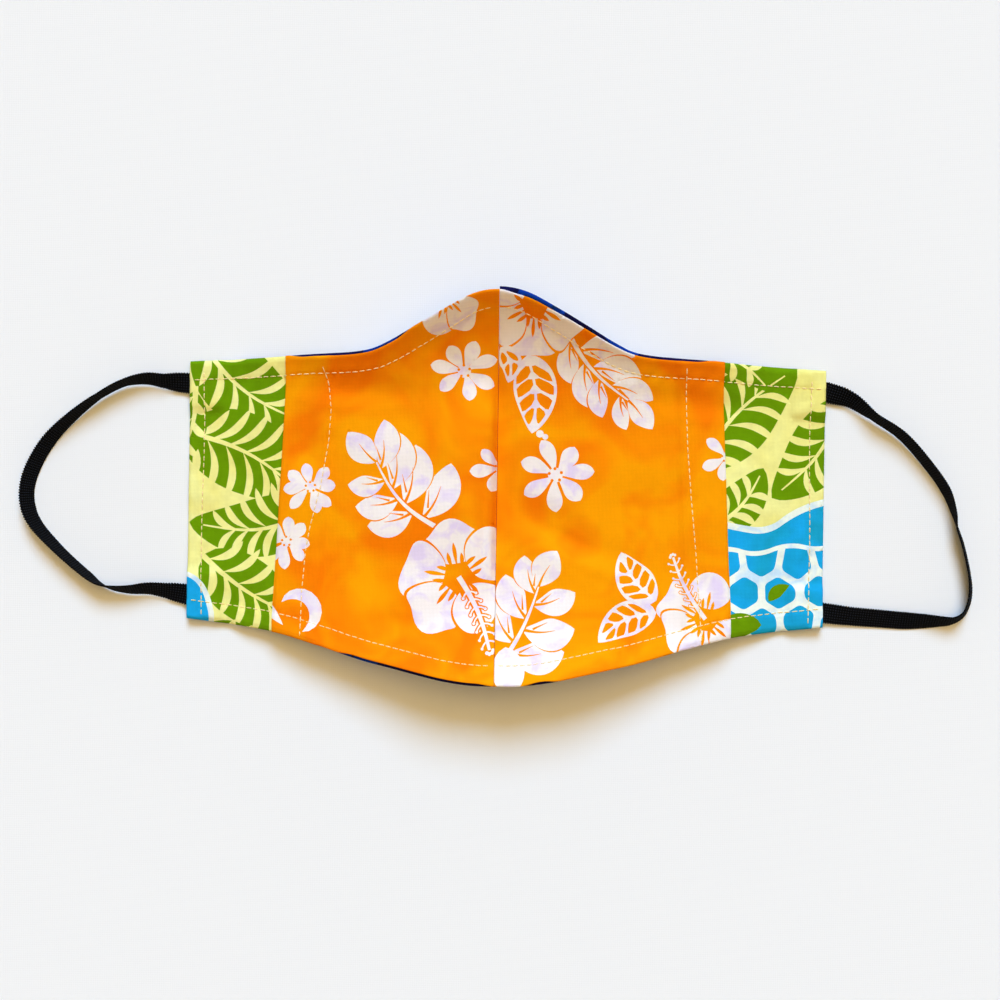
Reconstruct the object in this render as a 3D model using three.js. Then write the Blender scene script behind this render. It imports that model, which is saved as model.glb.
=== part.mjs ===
// A fitted cloth face mask, lying as it was put down: lining up, cup down, ear loops spread out.
// Millimetres, +Z up, +X to the wearer's right-hand loop, +Y towards the nose edge.
// The origin is the middle of the whole mask, on the surface that it lies on.
//
// Each layer of cloth is a thin solid over one shared height field, so the layers nest with even gaps:
// two outer panels underneath, two cheek panels at the sides, and two face panels over both, which
// leave a filter pocket open at their hemmed side edges. Flat elastic loops leave the side seams.

import * as THREE from "three";

// Driving dimensions of the mask as it lies.
const leftReach = 104.4; // centre seam to the left side edge
const rightReach = 110.8; // centre seam to the right side edge, which lies a little flatter
const noseReach = 64; // mid line to the nose edge, at the seam
const chinReach = 64.6; // mid line to the chin edge, at the seam
const noseRise = 20; // how high the nose edge stands over the surface, at the seam
const chinRise = 17; // how high the chin edge stands, at the seam
const archRise = 6; // how high the cloth bridges between the seam and the side
const foldRise = 4.5; // height of the fold that stands along the left of the seam
const creaseRise = 1.3; // height or depth of the soft creases across the cup

// Cloth, seams and hems.
const clothWall = 1; // one layer, with the allowances that are folded into it
const layerGap = 0.3; // between layers, and between the panels of a seam
const edgeReveal = 0.9; // how far the outer shell shows past the lining along nose and chin
const noseReveal = 0.9; // how much further it has rolled in on the right of the nose
const hemWidth = 5.6; // nose or chin edge to its topstitching
const sideHemWidth = 5.2; // side edge to its topstitching
const hemRelief = 0.3; // how far a hem stands up, because of the cloth folded inside
const stitchDent = 0.2; // how far a line of stitches pulls the cloth in
const stitchHalf = 0.8; // half the width of that dent
const edgeRound = 1; // width of the rounding along a cloth edge
const edgeDrop = 0.25; // depth of that rounding

// Panels, measured in from the side edge.
const leftCheekShow = 31.2; // how much of the left cheek panel shows beside the face panel
const rightCheekShow = 33.3;
const cheekLean = 1.8; // how far the face panel's edge leans out from its middle to the chin
const cheekOverlap = 14.5; // how far the cheek panel runs on under the face panel
const pocketHemWidth = 12; // the face panel's side hem
const stepLength = 2.5; // over which the face panel comes down off the cheek panel

// Ear loops.
const elasticWidth = 7.2;
const elasticThickness = 0.9;
const leftLoopReach = 54.7; // side edge to the far bend of the left loop's middle line
const rightLoopReach = 49.9;
const leftNoseInset = 2.9; // nose corner to the near edge of the elastic
const rightNoseInset = 2.6;
const leftChinInset = 3.5; // chin corner to the near edge of the elastic
const rightChinInset = 0.5;
const elasticTuck = 8; // how far each end is sewn in between outer and cheek panel
const tuckRoom = 1.2; // how far the cheek panel's bulge runs on past a tucked end
const bulgeSlope = 4; // over which that bulge falls away
const loopSteps = 56; // sections along the free stretch of a loop

// The outline of a half, from the seam at share 0 to the side edge at share 1.
// nose and chin are shares of noseReach and chinReach.
const outline = [
  { share: 0, nose: 1, chin: 1 },
  { share: 0.08, nose: 0.976, chin: 0.996 },
  { share: 0.17, nose: 0.9, chin: 0.975 },
  { share: 0.26, nose: 0.817, chin: 0.942 },
  { share: 0.34, nose: 0.743, chin: 0.913 },
  { share: 0.4, nose: 0.7, chin: 0.892 },
  { share: 0.46, nose: 0.682, chin: 0.866 },
  { share: 0.54, nose: 0.674, chin: 0.827 },
  { share: 0.62, nose: 0.668, chin: 0.79 },
  { share: 0.7, nose: 0.66, chin: 0.758 },
  { share: 0.8, nose: 0.65, chin: 0.733 },
  { share: 0.9, nose: 0.642, chin: 0.713 },
  { share: 1, nose: 0.632, chin: 0.693 },
];

// Heights across a half, as shares of archRise, foldRise, noseRise and chinRise.
const heights = [
  { share: 0, arch: 0, fold: 0, nose: 1, chin: 1 },
  { share: 0.033, arch: 0.2, fold: 0.85, nose: 0.995, chin: 0.997 },
  { share: 0.06, arch: 0.34, fold: 1, nose: 0.985, chin: 0.99 },
  { share: 0.12, arch: 0.58, fold: 0.8, nose: 0.95, chin: 0.97 },
  { share: 0.2, arch: 0.85, fold: 0.45, nose: 0.85, chin: 0.9 },
  { share: 0.3, arch: 1, fold: 0.15, nose: 0.68, chin: 0.77 },
  { share: 0.4, arch: 0.98, fold: 0.03, nose: 0.52, chin: 0.62 },
  { share: 0.5, arch: 0.86, fold: 0, nose: 0.41, chin: 0.46 },
  { share: 0.6, arch: 0.66, fold: 0, nose: 0.32, chin: 0.32 },
  { share: 0.7, arch: 0.42, fold: 0, nose: 0.21, chin: 0.19 },
  { share: 0.8, arch: 0.16, fold: 0, nose: 0.1, chin: 0.08 },
  { share: 0.88, arch: 0, fold: 0, nose: 0, chin: 0 },
  { share: 1, arch: 0, fold: 0, nose: 0, chin: 0 },
];

// Soft creases: the middle of each as shares of its half's reach and of the nose or chin reach, its half
// length and half width as shares of that reach, its turn from level, and its rise as a share of creaseRise.
const creases = [
  { half: "right", share: 0.17, up: -0.2, turn: -27, length: 0.3, width: 0.09, rise: -1 },
  { half: "right", share: 0.24, up: -0.4, turn: -27, length: 0.28, width: 0.1, rise: 0.8 },
  { half: "right", share: 0.3, up: -0.74, turn: 14, length: 0.24, width: 0.1, rise: -0.7 },
  { half: "left", share: 0.28, up: -0.72, turn: -14, length: 0.24, width: 0.1, rise: -0.8 },
  { half: "left", share: 0.48, up: 0.3, turn: 20, length: 0.26, width: 0.12, rise: 0.5 },
];

const noseCurl = 3.5; // power by which the nose edge curls up, from the mid line at 0 to the edge at 1
const chinCurl = 3;
const archFade = 0.55; // share of the arch that is gone at the nose and chin edges
const noseRollShare = 0.38; // share of the half over which the outer shell has rolled in at the nose
const seamShare = 0.1; // share of the half beside the seam where no crease reaches
const foldReach = 0.62; // half length of the standing fold, as a share of nose or chin reach
const steepest = 1.8; // limit on how much a slope thickens a wall, measured upright
const slopeStep = 0.5; // distance to either side at which a slope is read

// The route of each loop's middle line, from its nose end to its chin end.
// out is a share of the loop's reach past the side edge, along runs from the chin end 0 to the nose end 1,
// tilt turns the elastic about its own length from flat, and lift is its height over the surface.
const leftRoute = [
  { out: 0, along: 1, tilt: 0, lift: 1.3 },
  { out: 0.152, along: 1.007, tilt: 46, lift: 1 },
  { out: 0.263, along: 1.017, tilt: 57, lift: 0.9 },
  { out: 0.399, along: 0.997, tilt: 75, lift: 0.9 },
  { out: 0.558, along: 0.932, tilt: 80, lift: 0.8 },
  { out: 0.739, along: 0.823, tilt: 66, lift: 0.4 },
  { out: 0.872, along: 0.715, tilt: 56, lift: 0.1 },
  { out: 0.969, along: 0.582, tilt: 53, lift: 0 },
  { out: 1, along: 0.483, tilt: 56, lift: 0 },
  { out: 0.989, along: 0.399, tilt: 56, lift: 0 },
  { out: 0.945, along: 0.328, tilt: 61, lift: 0 },
  { out: 0.786, along: 0.198, tilt: 71, lift: 0.3 },
  { out: 0.605, along: 0.081, tilt: 76, lift: 0.6 },
  { out: 0.539, along: 0.046, tilt: 88, lift: 0.7 },
  { out: 0.468, along: 0.028, tilt: 103, lift: 0.8 },
  { out: 0.355, along: 0.021, tilt: 116, lift: 0.8 },
  { out: 0.236, along: 0.027, tilt: 128, lift: 0.8 },
  { out: 0.13, along: 0.018, tilt: 142, lift: 1 },
  { out: 0, along: 0, tilt: 180, lift: 1.3 },
];
const rightRoute = [
  { out: 0, along: 1, tilt: 0, lift: 1.3 },
  { out: 0.166, along: 0.964, tilt: 44, lift: 1 },
  { out: 0.323, along: 0.89, tilt: 74, lift: 0.9 },
  { out: 0.515, along: 0.807, tilt: 71, lift: 0.6 },
  { out: 0.693, along: 0.68, tilt: 72, lift: 0.3 },
  { out: 0.822, along: 0.561, tilt: 74, lift: 0.1 },
  { out: 0.88, along: 0.46, tilt: 88, lift: 0 },
  { out: 0.904, along: 0.394, tilt: 105, lift: 0 },
  { out: 0.94, along: 0.325, tilt: 108, lift: 0 },
  { out: 0.988, along: 0.191, tilt: 108, lift: 0.1 },
  { out: 1, along: 0.114, tilt: 111, lift: 0.1 },
  { out: 0.99, along: 0.057, tilt: 112, lift: 0.1 },
  { out: 0.95, along: 0, tilt: 111, lift: 0.1 },
  { out: 0.882, along: -0.027, tilt: 114, lift: 0.1 },
  { out: 0.78, along: -0.031, tilt: 127, lift: 0.1 },
  { out: 0.685, along: -0.031, tilt: 140, lift: 0.1 },
  { out: 0.557, along: -0.03, tilt: 152, lift: 0.2 },
  { out: 0.377, along: -0.022, tilt: 155, lift: 0.4 },
  { out: 0.182, along: -0.013, tilt: 160, lift: 0.8 },
  { out: 0, along: 0, tilt: 180, lift: 1.3 },
];

// Each half: which way it lies from the seam, how much of the fold and of the rolled nose edge it has, and
// where its loop is sewn in.
const corner = outline[outline.length - 1];
const noseSeat = (inset) => noseReach * corner.nose - inset - elasticWidth / 2;
const chinSeat = (inset) => -chinReach * corner.chin + inset + elasticWidth / 2;
const left = {
  name: "left",
  side: -1,
  reach: leftReach,
  cheekShow: leftCheekShow,
  foldShare: 1,
  noseRoll: 0,
  loopReach: leftLoopReach,
  noseEnd: noseSeat(leftNoseInset),
  chinEnd: chinSeat(leftChinInset),
  route: leftRoute,
};
const right = {
  name: "right",
  side: 1,
  reach: rightReach,
  cheekShow: rightCheekShow,
  foldShare: 0,
  noseRoll: noseReveal,
  loopReach: rightLoopReach,
  noseEnd: noseSeat(rightNoseInset),
  chinEnd: chinSeat(rightChinInset),
  route: rightRoute,
};

// The cloth's colours where a solid shows them.
const orangeCloth = new THREE.MeshStandardMaterial({ color: 0xf98f0a, roughness: 0.85, metalness: 0 });
const greenCloth = new THREE.MeshStandardMaterial({ color: 0x8fae2a, roughness: 0.85, metalness: 0 });
const navyCloth = new THREE.MeshStandardMaterial({ color: 0x232a6b, roughness: 0.85, metalness: 0 });
const blackElastic = new THREE.MeshStandardMaterial({ color: 0x111214, roughness: 0.75, metalness: 0 });

const clamp = THREE.MathUtils.clamp;
const lerp = THREE.MathUtils.lerp;

// A smooth value of one column of a table whose rows run up in share. It is level at the first row and
// at each peak, dip or flat stretch, so it never swings past its rows.
function along(table, column, share) {
  const last = table.length - 1;
  let i = 0;
  while (i < last - 1 && share > table[i + 1].share) i++;
  const slope = (k) => {
    if (k === 0) return 0;
    const [a, here, b] = [table[k - 1], table[k], table[Math.min(k + 1, last)]];
    const turns = k < last && (here[column] - a[column]) * (b[column] - here[column]) <= 0;
    return turns ? 0 : (b[column] - a[column]) / (b.share - a.share);
  };
  const [from, to] = [table[i], table[i + 1]];
  const width = to.share - from.share;
  const s = clamp((share - from.share) / width, 0, 1);
  const s2 = s * s;
  const s3 = s2 * s;
  return (
    (2 * s3 - 3 * s2 + 1) * from[column] +
    (s3 - 2 * s2 + s) * width * slope(i) +
    (3 * s2 - 2 * s3) * to[column] +
    (s3 - s2) * width * slope(i + 1)
  );
}

const shareOf = (half, across) => clamp(1 - across / half.reach, 0, 1);
const noseEdge = (half, across) => noseReach * along(outline, "nose", shareOf(half, across));
const chinEdge = (half, across) => -chinReach * along(outline, "chin", shareOf(half, across));

// Height that the soft creases add, each fading out at its own rim and at the seam.
function creaseAt(half, share, y) {
  let height = 0;
  for (const crease of creases) {
    if (crease.half !== half.name) continue;
    const middle = crease.up * (crease.up > 0 ? noseReach : chinReach);
    const turn = THREE.MathUtils.degToRad(crease.turn);
    const out = (share - crease.share) * half.reach;
    const up = y - middle;
    const lengthwise = (out * Math.cos(turn) + up * Math.sin(turn)) / (crease.length * half.reach);
    const widthwise = (up * Math.cos(turn) - out * Math.sin(turn)) / (crease.width * half.reach);
    const inside = Math.max(0, 1 - lengthwise ** 2 - widthwise ** 2);
    height += creaseRise * crease.rise * inside ** 2;
  }
  return height * clamp(share / seamShare, 0, 1);
}

// Height of the underside of the outer shell, which nowhere goes below the surface that it lies on.
// across is measured in from the side edge.
function ground(half, across, y) {
  const share = shareOf(half, across);
  const v = y > 0 ? y / noseEdge(half, across) : -y / chinEdge(half, across);
  const reach = Math.abs(v);
  const curl = v > 0
    ? noseRise * along(heights, "nose", share) * reach ** noseCurl
    : chinRise * along(heights, "chin", share) * reach ** chinCurl;
  const arch = archRise * along(heights, "arch", share) * (1 - archFade * Math.min(reach, 1) ** 2);
  const inFold = clamp(1 - (reach / foldReach) ** 2, 0, 1);
  const fold = half.foldShare * foldRise * along(heights, "fold", share) * inFold * inFold * (3 - 2 * inFold);
  return Math.max(0, curl + arch + fold + creaseAt(half, share, y));
}

// How much taller a wall of even thickness is on a slope, measured upright.
function upright(half, across, y) {
  const inner = Math.min(across + slopeStep, half.reach);
  const outer = Math.max(across - slopeStep, 0);
  const slopeX = (ground(half, inner, y) - ground(half, outer, y)) / (inner - outer);
  const slopeY = (ground(half, across, y + slopeStep) - ground(half, across, y - slopeStep)) / (2 * slopeStep);
  return Math.min(Math.hypot(1, slopeX, slopeY), steepest);
}

// The relief of a hem at a distance from its cloth edge: rounded edge, raised band, dent of stitches.
function hemAt(distance, width) {
  if (distance < edgeRound) return lerp(-edgeDrop, hemRelief, distance / edgeRound);
  if (distance < width - stitchHalf) return hemRelief;
  if (distance < width) return lerp(-stitchDent, hemRelief, (width - distance) / stitchHalf);
  if (distance < width + stitchHalf) return lerp(-stitchDent, 0, (distance - width) / stitchHalf);
  return 0;
}
const bothHems = (a, b) => (Math.min(a, b) < 0 ? Math.min(a, b) : Math.max(a, b));

// How far the cheek panel bulges over the ends of the elastic that are sewn in beneath it.
function bulgeAt(half, across, y) {
  const inwards = clamp((elasticTuck + tuckRoom + bulgeSlope - across) / bulgeSlope, 0, 1);
  const beside = (end) => {
    const past = Math.abs(y - end) - elasticWidth / 2 - tuckRoom;
    return clamp(1 - (past - bulgeSlope / 2) / bulgeSlope, 0, 1);
  };
  return (elasticThickness + layerGap) * inwards * Math.max(beside(half.noseEnd), beside(half.chinEnd));
}

// Columns of the shared grid, from the side edge in to the seam, so that hems and panel edges fall on them.
const cheekInner = (half) => half.cheekShow + cheekOverlap;
const hemStops = (start, width) => [
  start,
  start + edgeRound,
  start + width - stitchHalf,
  start + width,
  start + width + stitchHalf,
];
const seamStops = [0.86, 0.72, 0.58, 0.45, 0.33, 0.22, 0.13, 0.06, 0.025]; // shares of the way to the seam
function columnsOf(half) {
  const stepEnd = cheekInner(half) + stepLength;
  const seam = half.reach - layerGap / 2;
  return [
    ...hemStops(0, sideHemWidth),
    elasticTuck + tuckRoom,
    elasticTuck + tuckRoom + bulgeSlope,
    lerp(elasticTuck + tuckRoom + bulgeSlope, half.cheekShow, 0.34),
    lerp(elasticTuck + tuckRoom + bulgeSlope, half.cheekShow, 0.68),
    ...hemStops(half.cheekShow, pocketHemWidth),
    cheekInner(half),
    stepEnd,
    ...seamStops.map((share) => lerp(seam, stepEnd, share)),
    seam,
  ];
}

// Rows of the grid from the chin edge to the nose edge: a distance from an edge, or a share between the hems.
const betweenShares = [0.07, 0.16, 0.26, 0.37, 0.48, 0.58, 0.68, 0.77, 0.86, 0.94];
const rows = [
  ...hemStops(0, hemWidth).map((distance) => ({ edge: "chin", distance })),
  ...betweenShares.map((share) => ({ edge: "between", share })),
  ...hemStops(0, hemWidth).reverse().map((distance) => ({ edge: "nose", distance })),
];

// The panel edges lean with the pocket's edge, and stand upright at the seam and at the side.
function leaning(half, across, v) {
  const stepEnd = cheekInner(half) + stepLength;
  const weight = across < half.cheekShow
    ? across / half.cheekShow
    : clamp((half.reach - across) / (half.reach - stepEnd), 0, 1);
  return across + cheekLean * v * weight;
}

// How far the outer shell runs on past the lining.
function revealAt(half, across, edge) {
  const nearNose = clamp(1 - shareOf(half, across) / noseRollShare, 0, 1);
  return edgeReveal + (edge === "nose" ? half.noseRoll * Math.sqrt(nearNose) : 0);
}

// One point of the grid: how far it is from the side, its y, and its distances from the cloth edges.
function pointAt(half, column, row, revealed) {
  const v = row.edge === "between" ? 2 * row.share - 1 : row.edge === "nose" ? 1 : -1;
  const across = leaning(half, column, v);
  const edges = [chinEdge, noseEdge].map((edge) => {
    const slope = (edge(half, across + slopeStep) - edge(half, across - slopeStep)) / (2 * slopeStep);
    return { y: edge(half, across), lengthen: Math.hypot(1, slope) };
  });
  const [chin, nose] = edges;
  const inset = hemWidth + stitchHalf;
  let y;
  if (row.edge === "chin") y = chin.y + row.distance * chin.lengthen;
  else if (row.edge === "nose") y = nose.y - row.distance * nose.lengthen;
  else y = lerp(chin.y + inset * chin.lengthen, nose.y - inset * nose.lengthen, row.share);
  if (revealed && row.distance === 0) y += revealAt(half, across, row.edge) * (row.edge === "nose" ? 1 : -1);
  return { across, y, column, fromEdge: row.edge === "between" ? inset : row.distance };
}

// Heights of the layers over the ground, at a point of the grid.
const outerTop = () => clothWall;
const cheekLow = (half, p) => clothWall + layerGap + bulgeAt(half, p.across, p.y);
function cheekTop(half, p) {
  const relief = bothHems(hemAt(p.fromEdge, hemWidth), hemAt(p.column, sideHemWidth));
  return cheekLow(half, p) + clothWall + relief;
}
function faceLow(half, p) {
  const over = cheekTop(half, p) + layerGap;
  const down = clothWall + layerGap;
  return lerp(over, down, clamp((p.column - cheekInner(half)) / stepLength, 0, 1));
}
function faceTop(half, p) {
  const relief = bothHems(hemAt(p.fromEdge, hemWidth), hemAt(p.column - half.cheekShow, pocketHemWidth));
  return faceLow(half, p) + clothWall + relief;
}

// A closed solid between two height functions, over the columns from one place to another.
function panel(name, half, from, to, low, high, material, revealed = false) {
  const columns = columnsOf(half).filter((column) => column >= from && column <= to);
  const positions = [];
  for (const height of [low, high]) {
    for (const row of rows) {
      for (const column of columns) {
        const p = pointAt(half, column, row, revealed);
        const z = ground(half, p.across, p.y) + height(half, p) * upright(half, p.across, p.y);
        positions.push(half.side * (half.reach - p.across), p.y, z);
      }
    }
  }
  const wide = columns.length;
  const tall = rows.length;
  const at = (layer, i, j) => (layer * tall + i) * wide + j;
  const triangles = [];
  const quad = (a, b, c, d) => {
    if (half.side < 0) triangles.push(a, b, c, a, c, d);
    else triangles.push(a, c, b, a, d, c);
  };
  for (let i = 0; i + 1 < tall; i++) {
    for (let j = 0; j + 1 < wide; j++) {
      quad(at(1, i, j), at(1, i, j + 1), at(1, i + 1, j + 1), at(1, i + 1, j));
      quad(at(0, i, j), at(0, i + 1, j), at(0, i + 1, j + 1), at(0, i, j + 1));
    }
    quad(at(0, i, 0), at(1, i, 0), at(1, i + 1, 0), at(0, i + 1, 0));
    quad(at(0, i, wide - 1), at(0, i + 1, wide - 1), at(1, i + 1, wide - 1), at(1, i, wide - 1));
  }
  for (let j = 0; j + 1 < wide; j++) {
    quad(at(0, 0, j), at(0, 0, j + 1), at(1, 0, j + 1), at(1, 0, j));
    quad(at(0, tall - 1, j), at(1, tall - 1, j), at(1, tall - 1, j + 1), at(0, tall - 1, j + 1));
  }
  const geometry = new THREE.BufferGeometry();
  geometry.setAttribute("position", new THREE.Float32BufferAttribute(positions, 3));
  geometry.setIndex(triangles);
  geometry.computeVertexNormals();
  const mesh = new THREE.Mesh(geometry, material);
  mesh.name = name;
  return mesh;
}

// The elastic's section: a flat strip with its edges brought to a ridge.
const elasticSection = [
  { across: 0.5, up: 0 },
  { across: 0.46, up: 0.5 },
  { across: -0.46, up: 0.5 },
  { across: -0.5, up: 0 },
  { across: -0.46, up: -0.5 },
  { across: 0.46, up: -0.5 },
];

// Directions across the elastic and up from it, where it runs along tangent and is turned by tilt degrees.
function turned(side, tangent, tilt) {
  const turn = THREE.MathUtils.degToRad(tilt);
  const across = new THREE.Vector3(-side * tangent.y, side * tangent.x, 0).multiplyScalar(Math.cos(turn));
  across.z = Math.sin(turn);
  return { across, up: new THREE.Vector3().crossVectors(across, tangent).multiplyScalar(side) };
}

// Sections of one loop from tucked end to tucked end: middle, direction across and direction up.
function loopSections(half) {
  const { side, reach, loopReach, noseEnd, chinEnd, route } = half;
  const seat = clothWall + layerGap + elasticThickness / 2;
  const outwards = new THREE.Vector3(side, 0, 0);
  const inwards = outwards.clone().negate();
  const noseTurn = turned(side, outwards, route[0].tilt);
  const chinTurn = turned(side, inwards, route[route.length - 1].tilt);
  const flat = (out, y, turn) => ({ middle: new THREE.Vector3(side * (reach + out), y, seat), ...turn });
  const plan = new THREE.CatmullRomCurve3(
    route.map(({ out, along }) => {
      return new THREE.Vector3(side * (reach + out * loopReach), lerp(chinEnd, noseEnd, along), 0);
    }),
    false,
    "centripetal",
  );
  const sections = [flat(-elasticTuck, noseEnd, noseTurn), flat(0, noseEnd, noseTurn)];
  for (let i = 1; i < loopSteps; i++) {
    const t = i / loopSteps;
    const place = t * (route.length - 1);
    const k = Math.min(Math.floor(place), route.length - 2);
    const between = (column) => lerp(route[k][column], route[k + 1][column], place - k);
    const { across, up } = turned(side, plan.getTangent(t), between("tilt"));
    const depths = elasticSection.map((point) => {
      return point.across * across.z * elasticWidth + point.up * up.z * elasticThickness;
    });
    const middle = plan.getPoint(t);
    middle.z = between("lift") - Math.min(...depths);
    sections.push({ middle, across, up });
  }
  sections.push(flat(0, chinEnd, chinTurn), flat(-elasticTuck, chinEnd, chinTurn));
  return sections;
}

function earLoop(half) {
  const sections = loopSections(half);
  const positions = [];
  for (const { middle, across, up } of sections) {
    for (const point of elasticSection) {
      const p = middle.clone();
      p.addScaledVector(across, point.across * elasticWidth);
      p.addScaledVector(up, point.up * elasticThickness);
      positions.push(p.x, p.y, p.z);
    }
  }
  const around = elasticSection.length;
  const triangles = [];
  const triangle = (a, b, c) => {
    if (half.side < 0) triangles.push(a, b, c);
    else triangles.push(a, c, b);
  };
  for (let i = 0; i + 1 < sections.length; i++) {
    for (let k = 0; k < around; k++) {
      const a = i * around + k;
      const b = i * around + ((k + 1) % around);
      triangle(a, b, b + around);
      triangle(a, b + around, a + around);
    }
  }
  const end = (sections.length - 1) * around;
  for (let k = 1; k + 1 < around; k++) {
    triangle(0, k + 1, k);
    triangle(end, end + k, end + k + 1);
  }
  const geometry = new THREE.BufferGeometry();
  geometry.setAttribute("position", new THREE.Float32BufferAttribute(positions, 3));
  geometry.setIndex(triangles);
  geometry.computeVertexNormals();
  const mesh = new THREE.Mesh(geometry, blackElastic);
  mesh.name = `ear_loop_${half.name}`;
  return mesh;
}

const mask = new THREE.Group();
for (const half of [left, right]) {
  mask.add(
    panel(`outer_panel_${half.name}`, half, 0, half.reach, () => 0, outerTop, navyCloth, true),
    panel(`cheek_panel_${half.name}`, half, 0, cheekInner(half), cheekLow, cheekTop, greenCloth),
    panel(`face_panel_${half.name}`, half, half.cheekShow, half.reach, faceLow, faceTop, orangeCloth),
    earLoop(half),
  );
}

// Stand the whole mask over the origin.
const box = new THREE.Box3().setFromObject(mask);
const centre = box.getCenter(new THREE.Vector3());
mask.position.set(-centre.x, -centre.y, -box.min.z);

export default mask;
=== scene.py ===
"""The looks of a fitted cloth face mask that lies lining up on a pale surface, seen from straight above."""

from math import atan2, ceil, copysign, cos, hypot, log, pi, radians, sin, sqrt

import bpy
import numpy as np
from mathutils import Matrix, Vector
from mathutils.geometry import delaunay_2d_cdt


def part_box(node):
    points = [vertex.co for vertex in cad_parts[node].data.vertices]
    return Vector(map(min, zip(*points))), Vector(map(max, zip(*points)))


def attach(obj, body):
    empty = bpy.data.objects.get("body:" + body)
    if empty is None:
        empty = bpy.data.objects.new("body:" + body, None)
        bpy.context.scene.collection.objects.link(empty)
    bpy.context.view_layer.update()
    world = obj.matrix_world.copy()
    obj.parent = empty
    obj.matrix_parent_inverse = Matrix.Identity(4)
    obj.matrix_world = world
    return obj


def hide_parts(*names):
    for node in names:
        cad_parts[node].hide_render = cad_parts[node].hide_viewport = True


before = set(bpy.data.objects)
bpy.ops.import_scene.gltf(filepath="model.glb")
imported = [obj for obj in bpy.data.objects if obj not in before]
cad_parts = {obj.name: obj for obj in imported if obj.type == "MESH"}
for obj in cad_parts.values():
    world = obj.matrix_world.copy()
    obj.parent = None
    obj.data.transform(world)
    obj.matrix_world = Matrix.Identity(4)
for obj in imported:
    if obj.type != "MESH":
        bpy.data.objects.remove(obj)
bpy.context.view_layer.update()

MM = 0.001

# Driving dimensions, in millimetres, as the solids have them.
LEFT_REACH, RIGHT_REACH = 104.4, 110.8
NOSE_REACH, CHIN_REACH = 64.0, 64.6
NOSE_RISE, CHIN_RISE = 20.0, 17.0
ARCH_RISE, FOLD_RISE, CREASE_RISE = 6.0, 4.5, 1.3
CLOTH_WALL, LAYER_GAP = 1.0, 0.3
EDGE_REVEAL, NOSE_REVEAL = 0.9, 0.9
HEM_WIDTH, SIDE_HEM_WIDTH, POCKET_HEM_WIDTH = 5.6, 5.2, 12.0
LEFT_CHEEK_SHOW, RIGHT_CHEEK_SHOW = 31.2, 33.3
CHEEK_LEAN, CHEEK_OVERLAP, STEP_LENGTH = 1.8, 14.5, 2.5
ELASTIC_WIDTH, ELASTIC_THICKNESS, ELASTIC_TUCK = 7.2, 0.9, 8.0
TUCK_ROOM, BULGE_SLOPE = 1.2, 4.0
LEFT_LOOP_REACH, RIGHT_LOOP_REACH = 54.7, 49.9
LEFT_NOSE_INSET, RIGHT_NOSE_INSET = 2.9, 2.6
LEFT_CHIN_INSET, RIGHT_CHIN_INSET = 3.5, 0.5

# The outline of a half: share of the reach from the seam, nose edge and chin edge as shares of their reaches.
OUTLINE = np.array([
    (0, 1, 1), (0.08, 0.976, 0.996), (0.17, 0.9, 0.975), (0.26, 0.817, 0.942), (0.34, 0.743, 0.913),
    (0.4, 0.7, 0.892), (0.46, 0.682, 0.866), (0.54, 0.674, 0.827), (0.62, 0.668, 0.79), (0.7, 0.66, 0.758),
    (0.8, 0.65, 0.733), (0.9, 0.642, 0.713), (1, 0.632, 0.693),
])
# Heights across a half: share, then arch, fold, nose and chin as shares of their rises.
HEIGHTS = np.array([
    (0, 0, 0, 1, 1), (0.033, 0.2, 0.85, 0.995, 0.997), (0.06, 0.34, 1, 0.985, 0.99),
    (0.12, 0.58, 0.8, 0.95, 0.97), (0.2, 0.85, 0.45, 0.85, 0.9), (0.3, 1, 0.15, 0.68, 0.77),
    (0.4, 0.98, 0.03, 0.52, 0.62), (0.5, 0.86, 0, 0.41, 0.46), (0.6, 0.66, 0, 0.32, 0.32),
    (0.7, 0.42, 0, 0.21, 0.19), (0.8, 0.16, 0, 0.1, 0.08), (0.88, 0, 0, 0, 0), (1, 0, 0, 0, 0),
])
# Soft creases: share, up, turn in degrees, length, width and rise, as the solids have them.
CREASES = {
    "right": [(0.17, -0.2, -27, 0.3, 0.09, -1), (0.24, -0.4, -27, 0.28, 0.1, 0.8),
              (0.3, -0.74, 14, 0.24, 0.1, -0.7)],
    "left": [(0.28, -0.72, -14, 0.24, 0.1, -0.8), (0.48, 0.3, 20, 0.26, 0.12, 0.5)],
}
# Softer folds that only the looks have, in millimetres: out from the seam, up from the mid line,
# turn in degrees, half length, half width and rise.
SOFT_FOLDS = {
    "left": [
        (3.6, -7, 90, 36, 3.6, -1.4), (10.5, -7, 90, 34, 5, 0.5), (48, 32.5, 3, 27, 7, -1.4),
        (16, 42, 36, 15, 5.5, -0.9), (43, -20, 84, 26, 6, -0.5), (30, -47, 10, 16, 5, -0.6),
        (62, 12, 70, 22, 7, -0.4),
    ],
    "right": [
        (25, -18.5, -26, 17, 5, -1.1), (33, -25.5, -26, 15, 5, 0.6), (66, 29.5, -6, 26, 6.5, -1.2),
        (38, 43, -32, 16, 5, -0.7), (58, 4, 80, 26, 9, -0.5), (14, -48, 60, 12, 5, -0.5),
    ],
}
HEM_CURL = 1.1  # how far the hemmed edges of the cup curl up, beyond the solids
NOSE_CURL, CHIN_CURL = 3.5, 3.0
ARCH_FADE, FOLD_REACH, SEAM_SHARE, NOSE_ROLL_SHARE, STEEPEST = 0.55, 0.62, 0.1, 0.38, 1.8
SLOPE_STEP = 0.5  # over which slopes are measured

# The uneven lie of the cloth: height, wavelength and seed of each set of waves.
UNEVEN_LIE = ((0.26, 30, 3), (0.07, 11, 4))
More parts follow.
